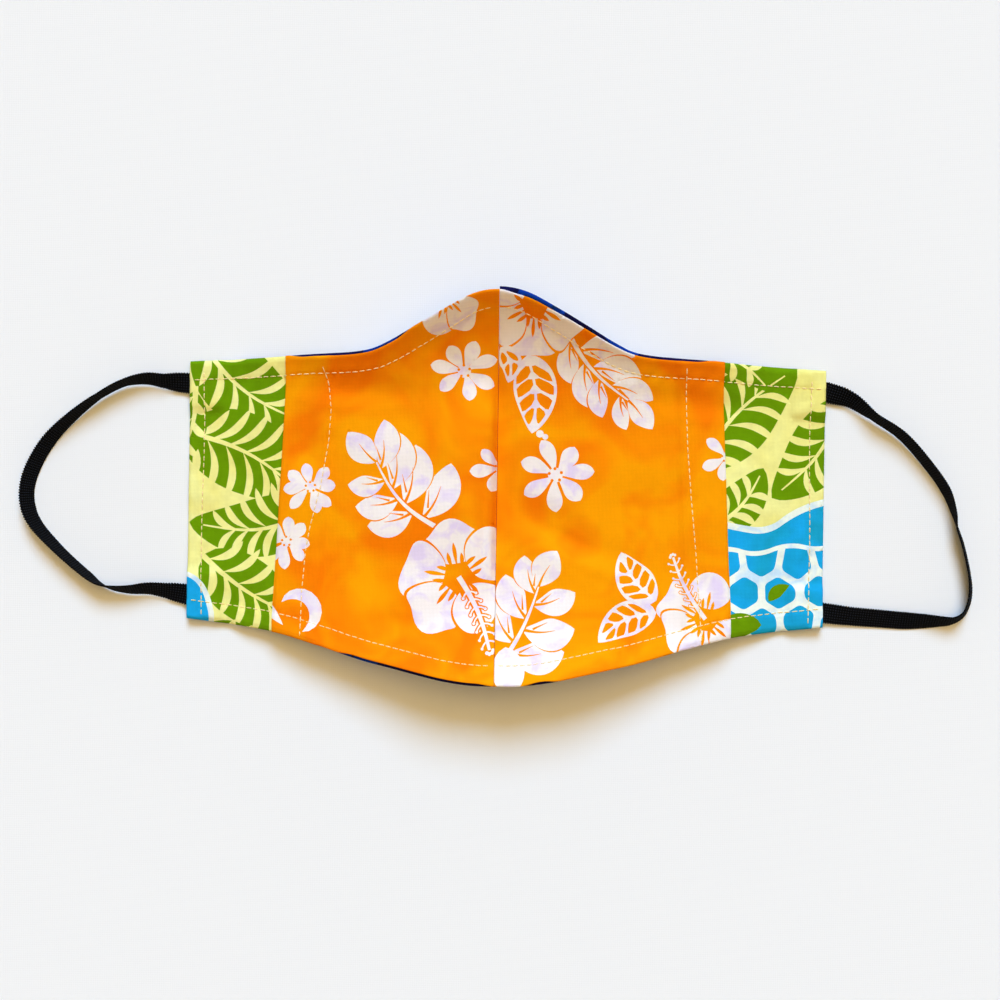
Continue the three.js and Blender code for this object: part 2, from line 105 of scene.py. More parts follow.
# Puckers along the hem stitches and the pocket stitches: height, width beside them and wavelength.
HEM_PUCKER, POCKET_PUCKER = (0.16, 3.4, 7.5), (0.13, 3.2, 8)
HEM_BAND, STITCH_DENT, DENT_WIDTH = 0.3, 0.24, 0.6
CURL_START, CURL_FULL = 24, 46  # where the hems' curl sets in, in from the side
FLAT_SIDE, FREE_SIDE = 2, 14  # the cloth sinks only from here on, in from the side

# The route of each ear loop: out, along, tilt in degrees and lift, as the solids have them.
LEFT_ROUTE = [
    (0, 1, 0, 1.3), (0.152, 1.007, 46, 1), (0.263, 1.017, 57, 0.9), (0.399, 0.997, 75, 0.9),
    (0.558, 0.932, 80, 0.8), (0.739, 0.823, 66, 0.4), (0.872, 0.715, 56, 0.1), (0.969, 0.582, 53, 0),
    (1, 0.483, 56, 0), (0.989, 0.399, 56, 0), (0.945, 0.328, 61, 0), (0.786, 0.198, 71, 0.3),
    (0.605, 0.081, 76, 0.6), (0.539, 0.046, 88, 0.7), (0.468, 0.028, 103, 0.8), (0.355, 0.021, 116, 0.8),
    (0.236, 0.027, 128, 0.8), (0.13, 0.018, 142, 1), (0, 0, 180, 1.3),
]
RIGHT_ROUTE = [
    (0, 1, 0, 1.3), (0.166, 0.964, 44, 1), (0.323, 0.89, 74, 0.9), (0.515, 0.807, 71, 0.6),
    (0.693, 0.68, 72, 0.3), (0.822, 0.561, 74, 0.1), (0.88, 0.46, 88, 0), (0.904, 0.394, 105, 0),
    (0.94, 0.325, 108, 0), (0.988, 0.191, 108, 0.1), (1, 0.114, 111, 0.1), (0.99, 0.057, 112, 0.1),
    (0.95, 0, 111, 0.1), (0.882, -0.027, 114, 0.1), (0.78, -0.031, 127, 0.1), (0.685, -0.031, 140, 0.1),
    (0.557, -0.03, 152, 0.2), (0.377, -0.022, 155, 0.4), (0.182, -0.013, 160, 0.8), (0, 0, 180, 1.3),
]


class Half:
    """One half of the mask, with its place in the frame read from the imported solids."""

    def __init__(self, name, side, reach, cheek_show, fold, nose_roll, loop_reach, insets, route):
        self.name, self.side, self.reach, self.cheek_show = name, side, reach, cheek_show
        self.fold, self.nose_roll, self.loop_reach, self.route = fold, nose_roll, loop_reach, route
        self.nose_end = NOSE_REACH * OUTLINE[-1, 1] - insets[0] - ELASTIC_WIDTH / 2
        self.chin_end = -CHIN_REACH * OUTLINE[-1, 2] + insets[1] + ELASTIC_WIDTH / 2
        self.cheek_inner = cheek_show + CHEEK_OVERLAP


LEFT = Half("left", -1, LEFT_REACH, LEFT_CHEEK_SHOW, 1, 0, LEFT_LOOP_REACH,
            (LEFT_NOSE_INSET, LEFT_CHIN_INSET), LEFT_ROUTE)
RIGHT = Half("right", 1, RIGHT_REACH, RIGHT_CHEEK_SHOW, 0, NOSE_REVEAL, RIGHT_LOOP_REACH,
             (RIGHT_NOSE_INSET, RIGHT_CHIN_INSET), RIGHT_ROUTE)

# The seam and the mid line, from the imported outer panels.
outer_left, outer_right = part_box("outer_panel_left"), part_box("outer_panel_right")
SEAM_X = (outer_left[1][0] + outer_right[0][0]) / 2 / MM
MID_Y = outer_left[1][1] / MM - NOSE_REACH - EDGE_REVEAL


def clamp01(value):
    return np.clip(value, 0.0, 1.0)


def smooth(low, high, value):
    t = clamp01((value - low) / (high - low))
    return t * t * (3 - 2 * t)


def along(table, column, share):
    """A smooth value of one column of a table, level at its first row and where it turns or stays flat."""
    places, values = table[:, 0], table[:, column]
    steps = np.diff(values)
    slopes = np.zeros(len(values))
    for k in range(1, len(values) - 1):
        if steps[k - 1] * steps[k] > 0:
            slopes[k] = (values[k + 1] - values[k - 1]) / (places[k + 1] - places[k - 1])
    slopes[-1] = steps[-1] / (places[-1] - places[-2])
    share = clamp01(np.asarray(share, float))
    i = np.clip(np.searchsorted(places, share, side="left") - 1, 0, len(places) - 2)
    width = places[i + 1] - places[i]
    s = (share - places[i]) / width
    s2, s3 = s * s, s * s * s
    return ((2 * s3 - 3 * s2 + 1) * values[i] + (s3 - 2 * s2 + s) * width * slopes[i]
            + (3 * s2 - 2 * s3) * values[i + 1] + (s3 - s2) * width * slopes[i + 1])


def swell(x, y, wavelength, seed, count=7):
    """A soft uneven height between about -1 and 1, the same on each run."""
    rng = np.random.default_rng(seed)
    total = np.zeros_like(x)
    for _ in range(count):
        turn = rng.uniform(0, pi)
        length = wavelength * rng.uniform(0.7, 1.5)
        phase = rng.uniform(0, 2 * pi)
        total += np.sin((x * cos(turn) + y * sin(turn)) * 2 * pi / length + phase)
    return total / sqrt(count)


def share_of(half, across):
    return clamp01(1 - across / half.reach)


def nose_edge(half, across):
    return NOSE_REACH * along(OUTLINE, 1, share_of(half, across))


def chin_edge(half, across):
    return -CHIN_REACH * along(OUTLINE, 2, share_of(half, across))


def edge_line(edge, half, across):
    """Where an edge lies at places across a half, and how much longer its slope makes a step along it."""
    slope = (edge(half, across + SLOPE_STEP) - edge(half, across - SLOPE_STEP)) / (2 * SLOPE_STEP)
    return edge(half, across), np.hypot(1, slope)


def edge_distances(half, across, y):
    """Distances to the nose edge and to the chin edge, square to each edge."""
    nose, nose_stretch = edge_line(nose_edge, half, across)
    chin, chin_stretch = edge_line(chin_edge, half, across)
    return (nose - y) / nose_stretch, (y - chin) / chin_stretch


def mound(dx, dy, turn, half_length, half_width):
    """A soft oval mound of height 1, turned by degrees, at distances from its middle."""
    turn = radians(turn)
    lengthwise = (dx * cos(turn) + dy * sin(turn)) / half_length
    widthwise = (dy * cos(turn) - dx * sin(turn)) / half_width
    return np.maximum(0, 1 - lengthwise ** 2 - widthwise ** 2) ** 2


def creases(half, share, y):
    total = np.zeros_like(y)
    for at, up, turn, length, width, rise in CREASES[half.name]:
        dx, dy = (share - at) * half.reach, y - up * (NOSE_REACH if up > 0 else CHIN_REACH)
        total += CREASE_RISE * rise * mound(dx, dy, turn, length * half.reach, width * half.reach)
    return total * clamp01(share / SEAM_SHARE)


def soft_folds(half, across, y):
    total = np.zeros_like(y)
    for out, up, turn, half_length, half_width, rise in SOFT_FOLDS[half.name]:
        total += rise * mound(half.reach - across - out, y - up, turn, half_length, half_width)
    return total


def gathers(pucker, distance, x, y, seed):
    """Short waves that a line of stitches draws into the cloth beside it."""
    height, width, wavelength = pucker
    return height * np.exp(-(distance / width) ** 2) * swell(x, y, wavelength, seed, 4)


def puckers(half, across, y):
    """What only the looks have: uneven lie, gathers along the stitching, soft folds and curled hems."""
    x = half.side * (half.reach - across)
    nose, chin = edge_distances(half, across, y)
    total = sum(height * swell(x, y, wavelength, seed) for height, wavelength, seed in UNEVEN_LIE)
    for distance, width, place, seed in ((nose, HEM_WIDTH, x, 11), (chin, HEM_WIDTH, x, 12),
                                         (across, SIDE_HEM_WIDTH, y, 13)):
        total += gathers(HEM_PUCKER, distance - width, place + 0.5 * distance, 0.4 * distance, seed)
    beside = across - pocket_edge(half, y) - pocket_stitch(half, y)
    total += gathers(POCKET_PUCKER, beside, y, 0.5 * beside, 14 + half.side)
    curl = sum(HEM_CURL * clamp01(1 - np.maximum(d, 0) / HEM_WIDTH) ** 2 for d in (nose, chin))
    total += soft_folds(half, across, y) + curl * smooth(CURL_START, CURL_FULL, across)
    return np.where(total > 0, total, total * smooth(FLAT_SIDE, FREE_SIDE, across))


def ground(half, across, y):
    """Height of the underside of the outer shell over the surface that the mask lies on."""
    share = share_of(half, across)
    v = np.where(y > 0, y / nose_edge(half, across), -y / chin_edge(half, across))
    reach = np.abs(v)
    curl = np.where(v > 0, NOSE_RISE * along(HEIGHTS, 3, share) * reach ** NOSE_CURL,
                    CHIN_RISE * along(HEIGHTS, 4, share) * reach ** CHIN_CURL)
    arch = ARCH_RISE * along(HEIGHTS, 1, share) * (1 - ARCH_FADE * np.minimum(reach, 1) ** 2)
    in_fold = clamp01(1 - (reach / FOLD_REACH) ** 2)
    fold = half.fold * FOLD_RISE * along(HEIGHTS, 2, share) * in_fold * in_fold * (3 - 2 * in_fold)
    return np.maximum(0, curl + arch + fold + creases(half, share, y))


def upright(half, across, y):
    """How much taller a wall of even thickness is on a slope, measured upright."""
    inner = np.minimum(across + SLOPE_STEP, half.reach)
    outer = np.maximum(across - SLOPE_STEP, 0)
    slope_x = (ground(half, inner, y) - ground(half, outer, y)) / (inner - outer)
    slope_y = (ground(half, across, y + SLOPE_STEP) - ground(half, across, y - SLOPE_STEP)) / (2 * SLOPE_STEP)
    return np.minimum(np.hypot(np.hypot(1, slope_x), slope_y), STEEPEST)


def lean_at(half, y):
    """The lean of the panel edges at a height between the chin hem, -1, and the nose hem, 1."""
    low, high = chin_edge(half, half.cheek_show), nose_edge(half, half.cheek_show)
    return np.clip(2 * (y - low) / (high - low) - 1, -1, 1)


def pocket_edge(half, y):
    """Where the face panel's hemmed side edge lies, in from the side."""
    return half.cheek_show + CHEEK_LEAN * lean_at(half, y)


# How the stitching of each pocket hem wanders: height from chin -1 to nose 1, and share of the hem's width.
POCKET_STITCH = {
    "left": np.array([(-1, 0.82), (-0.72, 0.79), (-0.4, 0.83), (-0.23, 0.92), (0.06, 1.15), (0.39, 1.31),
                      (0.63, 1.34), (0.83, 1.24), (1, 0.98)]),
    "right": np.array([(-1, 0.85), (-0.72, 0.88), (-0.4, 0.92), (-0.1, 0.99), (0.1, 1.03), (0.4, 1.08),
                       (1, 1.09)]),
}


def pocket_stitch(half, y):
    """How far the pocket's stitching lies in from the face panel's side edge."""
    table = POCKET_STITCH[half.name]
    return POCKET_HEM_WIDTH * np.interp(lean_at(half, y), table[:, 0], table[:, 1])


def hem_relief(distance, width):
    """A hem's raised band and the dent of its stitches, at a distance from its edge."""
    band = HEM_BAND * smooth(0, 0.9, distance) * (1 - smooth(width - 0.5, width + 1.2, distance))
    return band - STITCH_DENT * np.exp(-((distance - width) / DENT_WIDTH) ** 2)


def hems(half, across, y, third, third_width):
    """Relief of the nose and chin hems and of the panel's own side hem."""
    nose, chin = edge_distances(half, across, y)
    reliefs = [hem_relief(nose, HEM_WIDTH), hem_relief(chin, HEM_WIDTH), hem_relief(third, third_width)]
    low, high = np.minimum.reduce(reliefs), np.maximum.reduce(reliefs)
    return np.where(low < -0.02, low, high)


def rounding(distance, radius):
    """How far a cloth edge drops towards its fold."""
    near = clamp01(1 - distance / radius)
    return radius * 0.5 * (1 - np.sqrt(1 - near ** 2))


def bulge(half, across, y):
    """How far the cheek panel bulges over the ends of the elastic."""
    inwards = smooth(0, 1, (ELASTIC_TUCK + TUCK_ROOM + BULGE_SLOPE - across) / BULGE_SLOPE)
    flat = ELASTIC_WIDTH / 2 + TUCK_ROOM + BULGE_SLOPE / 2
    beside = [smooth(0, 1, 1 - (np.abs(y - end) - flat) / BULGE_SLOPE)
              for end in (half.nose_end, half.chin_end)]
    return (ELASTIC_THICKNESS + LAYER_GAP) * inwards * np.maximum(*beside)


# How high the underside and the top of each layer lie over the ground.

class OuterLayer:
    def low(self, half, across, y):
        return 0 * y

    def top(self, half, across, y):
        return CLOTH_WALL + 0 * y


class CheekLayer:
    def low(self, half, across, y):
        return CLOTH_WALL + LAYER_GAP + bulge(half, across, y)

    def top(self, half, across, y):
        return self.low(half, across, y) + CLOTH_WALL + hems(half, across, y, across, SIDE_HEM_WIDTH)


class FaceLayer:
    def low(self, half, across, y):
        over = CHEEK.top(half, across, y) + LAYER_GAP
        down = CLOTH_WALL + LAYER_GAP
        past_cheek = across - CHEEK_LEAN * lean_at(half, y) - half.cheek_inner
        return over + (down - over) * smooth(0, STEP_LENGTH, past_cheek)

    def top(self, half, across, y):
        beside = across - pocket_edge(half, y)
        return self.low(half, across, y) + CLOTH_WALL + hems(half, across, y, beside, pocket_stitch(half, y))


OUTER, CHEEK, FACE = OuterLayer(), CheekLayer(), FaceLayer()


def height_of(layer_height, half, across, y):
    base = np.maximum(0, ground(half, across, y) + puckers(half, across, y))
    return base + layer_height(half, across, y) * upright(half, across, y)


def to_frame(x, y, z):
    """Source millimetres to the frame's metres."""
    return np.stack([(x + SEAM_X) * MM, (y + MID_Y) * MM, z * MM], axis=-1)


# Motifs of the prints, in millimetres on the cloth as it lies. Each gives inks with their closed outlines.

NARROWEST = 0.05  # of a leaf, at its ends


def turned(points, angle, origin=(0, 0)):
    c, s = cos(angle), sin(angle)
    return [(origin[0] + c * x - s * y, origin[1] + s * x + c * y) for x, y in points]


def line_between(a, b, bend, count):
    """Points from a to b, bowed sideways by a share of the length."""
    ax, ay = a
    dx, dy = b[0] - ax, b[1] - ay
    points = []
    for k in range(count + 1):
        t = k / count
        bow = bend * sin(pi * t)
        points.append((ax + dx * t - dy * bow, ay + dy * t + dx * bow))
    return points


def ribbon(points, widths):
    """A closed outline along points, with a width at each."""
    left, right = [], []
    for k, (x, y) in enumerate(points):
        x0, y0 = points[max(k - 1, 0)]
        x1, y1 = points[min(k + 1, len(points) - 1)]
        length = hypot(x1 - x0, y1 - y0) or 1
        nx, ny = -(y1 - y0) / length, (x1 - x0) / length
        half_width = widths[k] / 2
        left.append((x + nx * half_width, y + ny * half_width))
        right.append((x - nx * half_width, y - ny * half_width))
    return left + right[::-1]


def stroke(ink, a, b, start_width, end_width, bend=0.0, count=6):
    points = line_between(a, b, bend, count)
    widths = [start_width + (end_width - start_width) * k / count for k in range(count + 1)]
    return [(ink, ribbon(points, widths))]


def leaf(ink, base, tip, width, bend=0.0, fullest=0.45, count=14, blunt=0.85):
    """An oval from base to tip, widest at the share called fullest; a low blunt number rounds its ends."""
    power = log(0.5) / log(fullest)
    widths = [NARROWEST] * (count + 1)
    for k in range(1, count):
        widths[k] = max(NARROWEST, width * sin(pi * (k / count) ** power) ** blunt)
    return [(ink, ribbon(line_between(base, tip, bend, count), widths))]


def dot(ink, centre, radius, count=9):
    return [(ink, [(centre[0] + radius * cos(2 * pi * k / count),
                    centre[1] + radius * sin(2 * pi * k / count)) for k in range(count)])]


def petal(ink, centre, angle, length, width, seed, ruffle=0.07, inner=0.08, count=40):
    """A broad hibiscus petal: narrow at the centre, full and softly notched at its rim."""
    rng = np.random.default_rng(seed)
    phase, lobes = rng.uniform(0, 2 * pi), rng.integers(3, 5)
    points = []
    for k in range(count + 1):
        t = pi * (k / count - 0.5) * 1.9
        reach = 0.58 + 0.42 * cos(t * 1.05)
        wave = 1 + ruffle * sin(lobes * t + phase) * (0.4 + 0.6 * cos(t / 2))
        points.append((length * (inner + (1 - inner) * reach * wave),
                       width / 2 * sin(t) * (0.55 + 0.45 * reach) * 1.25 * wave))
    return [(ink, turned(points, angle, centre))]


def toward(centre, angle, distance):
    return (centre[0] + distance * cos(angle), centre[1] + distance * sin(angle))


def heading(a, b):
    """The direction and the distance from a to b."""
    return atan2(b[1] - a[1], b[0] - a[0]), hypot(b[0] - a[0], b[1] - a[1])


def stamens(centre, angle, length, size):
    """A white column with paired filaments, each ending in a dot, edged with the ground's colour."""
    tip = toward(centre, angle, length)
    bow = line_between(centre, tip, 0.05, 18)
    edges = stroke("ground", centre, tip, size * 1.9, size * 1.3, 0.05, 12)
    whites = stroke("petal", centre, tip, size * 1.1, size * 0.6, 0.05, 12)
    for k in range(4, 18, 2):
        for side in (-1, 1):
            reach = size * (1.5 + 0.5 * sin(pi * (k - 2) / 18))
            end = toward(bow[k], angle + side * 1.0, reach)
            edges += stroke("ground", bow[k], end, size * 0.8, size * 0.9, side * 0.1, 4)
            edges += dot("ground", end, size * 0.5, 10)
            whites += stroke("petal", bow[k], end, size * 0.34, size * 0.3, side * 0.1, 4)
            whites += dot("petal", end, size * 0.3, 10)
    for side in (-1.1, -0.4, 0.4, 1.1):
        end = toward(tip, angle + side, size * 0.75)
        edges += dot("ground", end, size * 0.62, 10)
        whites += dot("petal", end, size * 0.38, 10)
    return edges + whites


def hibiscus(centre, radius, angles, column=None, seed=0, column_length=1.25):
    """Broad petals with flame-like veins and, where column gives its direction, a column of stamens."""
    shapes = []
    for k, degrees in enumerate(angles):
        angle = radians(degrees)
        length = radius * (0.94 + 0.1 * ((seed + k) % 3) / 2)
        shapes += petal("ground", centre, angle, length * 1.04, radius * 1.04, seed * 10 + k)
        shapes += petal("petal", toward(centre, angle, 0.3), angle, length, radius * 0.95, seed * 10 + k)
    shapes += dot("ground", centre, radius * 0.07, 14)
    for degrees in angles:
        angle = radians(degrees)
        for side, reach in ((-0.3, 0.42), (0.0, 0.6), (0.3, 0.46)):
            base = toward(centre, angle + side * 1.3, radius * 0.07)
            tip = toward(centre, angle + side * 0.9, radius * reach)
            shapes += leaf("ground", base, tip, radius * 0.07, 0.25 * side, 0.7, 10, 0.9)
    if column is not None:
        shapes += stamens(centre, radians(column), radius * column_length, radius * 0.085)
    return shapes


def small_flower(centre, radius, turn, count=7, seed=1):
    """Narrow round-ended petals around a ring of dots."""
    rng = np.random.default_rng(seed)
    shapes = []
    for k in range(count):
        angle = radians(turn) + 2 * pi * k / count + rng.uniform(-0.12, 0.12)
        tip = toward(centre, angle, radius * rng.uniform(0.84, 1.06))
        width, bend = radius * rng.uniform(0.38, 0.48), rng.uniform(-0.07, 0.07)
        shapes += leaf("petal", toward(centre, angle, 0.02 * radius), tip, width, bend, 0.68, 18, 0.66)
    shapes += dot("petal", centre, radius * 0.2, 14)
    for k in range(5):
        place = toward(centre, 2 * pi * k / 5 + 0.4, radius * 0.17)
        shapes += dot("ground", place, radius * 0.035 + 0.12, 6)
    return shapes


def leaf_spray(start, end, leaflets, length, width, bend=0.08, seed=2, spread=1.0, lean=0.0):
    """A white stem with leaflets to both sides and one at its tip, parted by slits of the ground's colour."""
    rng = np.random.default_rng(seed)
    steps = 24
    stem = line_between(start, end, bend, steps)
    direction, _ = heading(start, end)
    shapes, slits = [], []
    for k in range(leaflets):
        t = 0.2 + 0.72 * k / max(leaflets - 1, 1)
        foot = stem[round(t * steps)]
        side = 1 if k % 2 else -1
        size = (0.84 + 0.26 * sin(pi * min(1, t + 0.14))) * (1 - lean * side)
        angle = direction + side * spread * rng.uniform(0.88, 1.1) * (1.12 - 0.38 * t)
        tip = toward(foot, angle, length * size * rng.uniform(0.94, 1.05))
        shapes += leaf("ground", foot, toward(tip, angle, 0.4), width * size + 0.8, side * 0.1, 0.55)
        shapes += leaf("petal", foot, tip, width * size, side * 0.1, 0.55, 18, 0.78)
        slit_end = toward(foot, angle + side * 0.04, length * size * 0.62)
        slits += stroke("ground", foot, slit_end, 1.1, 0.12, side * 0.07, 7)
        fork = toward(foot, angle, length * size * 0.2)
        fork_end = toward(fork, angle - side * 0.42, length * size * 0.3)
        slits += stroke("ground", fork, fork_end, 0.75, 0.1, 0, 4)
    tip = toward(end, direction, length * 0.82)
    shapes += leaf("ground", end, toward(tip, direction, 0.4), width + 0.8, 0.04, 0.5)
    shapes += leaf("petal", end, tip, width, 0.04, 0.5, 18, 0.78)
    slits += stroke("ground", end, toward(end, direction, length * 0.5), 0.9, 0.12, 0.04, 6)
    for ink, start_width, taper in (("ground", 3.0, 1.7), ("petal", 1.7, 1.2)):
        slits.append((ink, ribbon(stem, [start_width - taper * k / steps for k in range(steps + 1)])))
    return shapes + slits


def outlined_leaf(base, tip, width, bend=0.05, pairs=4):
    """A leaf drawn as a net: an outline, a midrib and side ribs, with open cells between them."""
    fullest, steps, rib, rise = 0.42, 48, 0.45, 0.12
    shapes = leaf("petal", base, tip, width, bend, fullest, 24, 0.75)
    spine = line_between(base, tip, bend, steps)
    angle, length = heading(base, tip)
    power = log(0.5) / log(fullest)

    def half_width(t):
        return max(0.0, width / 2 * sin(pi * min(t, 1) ** power) ** 0.75 - 1.0)

    for k in range(pairs):
        t0, t1 = 0.1 + 0.72 * k / pairs, 0.1 + 0.72 * (k + 1) / pairs - 0.9 / length
        corners = [(t, rise, half_width(t + rise)) for t in (t1, (t0 + t1) / 2, t0)]
        for side in (-1, 1):
            cell = []
            for t, shift, across in [(t0, 0, rib), (t1, 0, rib)] + corners:
                place = spine[min(steps, round((t + shift * (across > rib)) * steps))]
                cell.append(toward(place, angle + side * pi / 2, max(across, rib)))
            shapes.append(("ground", rounded(cell, 1)))
    return shapes


def evened(points, step=3.2):
    """More points along a closed outline, so that cutting its corners rounds them less."""
    even = []
    for k, (x, y) in enumerate(points):
        x1, y1 = points[(k + 1) % len(points)]
        count = max(1, round(hypot(x1 - x, y1 - y) / step))
        even += [(x + (x1 - x) * m / count, y + (y1 - y) * m / count) for m in range(count)]
    return even


def rounded(points, times=2):
    """A closed outline with its corners cut off, a number of times over, which rounds it."""
    for _ in range(times):
        cut = []
        for k, (x, y) in enumerate(points):
            x1, y1 = points[(k + 1) % len(points)]
            cut += [(x + (x1 - x) * t, y + (y1 - y) * t) for t in (0.25, 0.75)]
        points = cut
    return points


def crescent(centre, radius, start, sweep, width):
    """A curl of leaf, thick in its middle."""
    points, widths = [], []
    for k in range(13):
        t = k / 12
        points.append(toward(centre, radians(start + sweep * t), radius))
        widths.append(max(0.1, width * sin(pi * t) ** 0.7))
    return [("petal", ribbon(points, widths))]


def broad_leaf(base, tip, width, pairs, bend=0.06):
    """A broad green leaf with a pale midrib and broad pale side veins."""
    steps = 40
    shapes = leaf("green", base, tip, width, bend, 0.42, 26, 0.66)
    angle, length = heading(base, tip)
    spine = line_between(base, tip, bend, steps)
    shapes += stroke("pale", toward(base, angle, -2), spine[36], 2.0, 0.5, bend, 12)
    for k in range(pairs):
        t = 0.06 + 0.72 * k / pairs
        foot = spine[round(t * steps)]
        for side in (-1, 1):
            reach = 0.62 * width * sin(pi * min(0.94, t + 0.2)) ** 0.6
            vein_tip = toward(toward(foot, angle, 0.16 * length), angle + side * pi / 2, reach)
            shapes += leaf("pale", foot, vein_tip, 2.9 - 0.9 * t, -side * 0.14, 0.6, 12, 0.7)
    return shapes


def patch(ink, outline, drop=0.0):
    """A patch with rounded corners."""
    return [(ink, rounded([(x, y - drop) for x, y in outline], 3))]


def pebble_net(seeds, bounds, shrink):
    """Rounded blue cells around the seeds, with a white net left between them."""
    shapes = []
    x0, y0, x1, y1 = bounds
    for sx, sy in seeds:
        cell = [(x0, y0), (x1, y0), (x1, y1), (x0, y1)]
        for ox, oy in seeds:
            if (ox, oy) == (sx, sy):
                continue
            mx, my, dx, dy = (sx + ox) / 2, (sy + oy) / 2, ox - sx, oy - sy
            kept = []
            for k, (ax, ay) in enumerate(cell):
                bx, by = cell[(k + 1) % len(cell)]
                side_a, side_b = (ax - mx) * dx + (ay - my) * dy, (bx - mx) * dx + (by - my) * dy
                if side_a <= 0:
                    kept.append((ax, ay))
                if side_a * side_b < 0:
                    t = side_a / (side_a - side_b)
                    kept.append((ax + (bx - ax) * t, ay + (by - ay) * t))
            cell = kept
        if len(cell) > 2:
            cx, cy = np.mean(cell, axis=0)
            shrunk = [(cx + (x - cx) * shrink, cy + (y - cy) * shrink) for x, y in cell]
            shapes.append(("sky", rounded(evened(shrunk), 3)))
    return shapes


# White flowers and leaves scattered over orange: each motif with the values of each of its copies.
FACE_PRINT = {
    "left": [
        (leaf_spray, [((-19, -14), (-40.5, 8), 7, 17, 9.2, 0.1, 5, 1.12, 0.12)]),
        (hibiscus, [((-12.4, -30), 19.5, (100, 172, 232, 304, 36), -66, 3, 1.35),
                    ((-18, 62), 12, (255, 320, 190, 60, 120), None, 6)]),
        (small_flower, [((-11.5, 39), 11.2, 20, 7, 1), ((-62.6, -0.6), 9.4, 10, 8, 3),
                        ((-70.5, -19), 9, 40, 8, 4), ((1.2, 7), 10, 15, 6, 6)]),
        (crescent, [((-66.5, -43), 6.4, -70, 215, 4.6)]),
        (leaf, [("petal", (-82, -36), (-71, -47), 3.6)]),
    ],
    "right": [
        (leaf_spray, [((1, -60), (14.5, -33), 6, 16.5, 9.8, -0.05, 8, 1.08),
                      ((20.5, 56), (43.5, 30), 7, 15.5, 7.6, -0.08, 3, 0.72, -0.1)]),
        (hibiscus, [((11.5, 60), 16.5, (268, 330, 205, 30, 140), None, 4),
                    ((70.5, -43), 15.5, (150, 205, 262, 320, 80), 118, 5, 1.5)]),
        (outlined_leaf, [((9.5, 44.5), (11.5, 18.5), 14.5, 0.08), ((0.5, 47), (3.2, 35.5), 7.5, 0.2, 2),
                         ((54, -37), (42, -21), 12.5, 0.1), ((54, -41), (34.5, -51), 11.5, -0.12)]),
        (small_flower, [((19.6, 4.6), 12.6, 60, 7, 2), ((77, 11.5), 8.5, 25, 6, 5)]),
        (leaf, [("petal", (3.6, -53), (4.6, -68), 11, 0.03, 0.5, 14, 0.6)]),
        (dot, [("petal", (14.2, 18.4), 1.3, 12), ("petal", (16, 17.4), 1, 12)]),
    ],
}

# Broad green leaves on pale yellow, with a blue corner at the left and a field of blue pebbles at the right.
BLUE_BAND = [(58, -8), (80, -13.2), (92, -14.8), (101, -8), (111, -4), (122, -3), (122, -14), (110, -19),
             (99, -16.5), (88, -21), (78, -18), (66, -20.5), (58, -17)]
PEBBLES = [(66, -24), (77, -25), (90, -23), (102, -25), (113, -22), (71, -33), (83.5, -34.5), (96.5, -34),
           (109, -33), (66, -43), (77.5, -44.5), (90, -45), (103, -43.5), (114, -45), (72, -54), (86, -55),
           (99, -54)]
CHEEK_PRINT = {
    "left": [
        (broad_leaf, [((-101, 50), (-62, 20), 25, 5, -0.1), ((-107, 17), (-62, -6), 27, 6, 0.08),
                      ((-60, -6), (-104, -13), 20, 6, 0.12), ((-99, -24), (-62, -46), 22, 5, -0.06),
                      ((-101, -51), (-76, -56), 9, 3, 0.1), ((-66, 47), (-46, 30), 14, 3, 0.1),
                      ((-103, 31), (-112, 4), 11, 3, 0.1)]),
        (patch, [("white", [(-112, -29), (-103, -29.5), (-97, -35), (-93.5, -50), (-112, -52)]),
                 ("sky", [(-112, -30.5), (-103.5, -31), (-98.6, -36), (-95.5, -50), (-112, -52)])]),
    ],
    "right": [
        (broad_leaf, [((69, 8), (101, 42), 26, 5, 0.08), ((70, 46), (92, 34), 10, 3, 0.1),
                      ((116, 32), (93, -2), 21, 5, 0.1), ((72, -12), (90, 8), 15, 4, -0.1)]),
        (patch, [("white", [(60, -6), (80, -11), (92, -12.5), (100, -6), (110, -2), (120, -1), (120, -56),
                            (60, -56)])]),
        (pebble_net, [(PEBBLES, (56, -62, 122, -14), 0.8)]),
        (patch, [("white", BLUE_BAND, 1.6), ("sky", BLUE_BAND)]),
        (leaf, [("green", (92.5, -37), (99.5, -31.5), 4.2, 0.1),
                ("green", (73, -50), (90, -45), 8.5, 0.12, 0.5, 14, 0.6),
                ("green", (71, -16), (75, -30), 4, 0.1)]),
    ],
}


def drawn(motifs):
    """The shapes of a print, each over those before it."""
    return [shape for motif, copies in motifs for values in copies for shape in motif(*values)]


def outer_print(side):
    """White leaves and royal blue flowers over navy, mirrored from half to half."""
    blooms = [((27, 56), 24), ((48, 12), 17), ((20, -12), 16), ((86, -22), 17), ((44, -44), 16),
              ((84, 30), 15)]
    sprays = [((8, 50), (30, 36)), ((62, 40), (40, 30)), ((30, 8), (8, 24)), ((70, -4), (92, 8)),
              ((6, -22), (4, -48)), ((66, -50), (46, -28)), ((98, -40), (76, -38)), ((34, -50), (14, -46)),
              ((104, 34), (98, 12))]
    shapes = []
    for seed, ((x, y), size) in enumerate(blooms, 1):
        angles = [30 * seed + 72 * k for k in range(5)]
        flower = hibiscus((side * x, y), size, angles, None, seed + 10 * (side > 0))
        shapes += [("royal" if ink == "petal" else ink, outline) for ink, outline in flower]
    for seed, ((x0, y0), (x1, y1)) in enumerate(sprays, 20):
        shapes += leaf_spray((side * x0, y0), (side * x1, y1), 6, 10, 5, 0.06 * side, seed, 0.8)
    return shapes


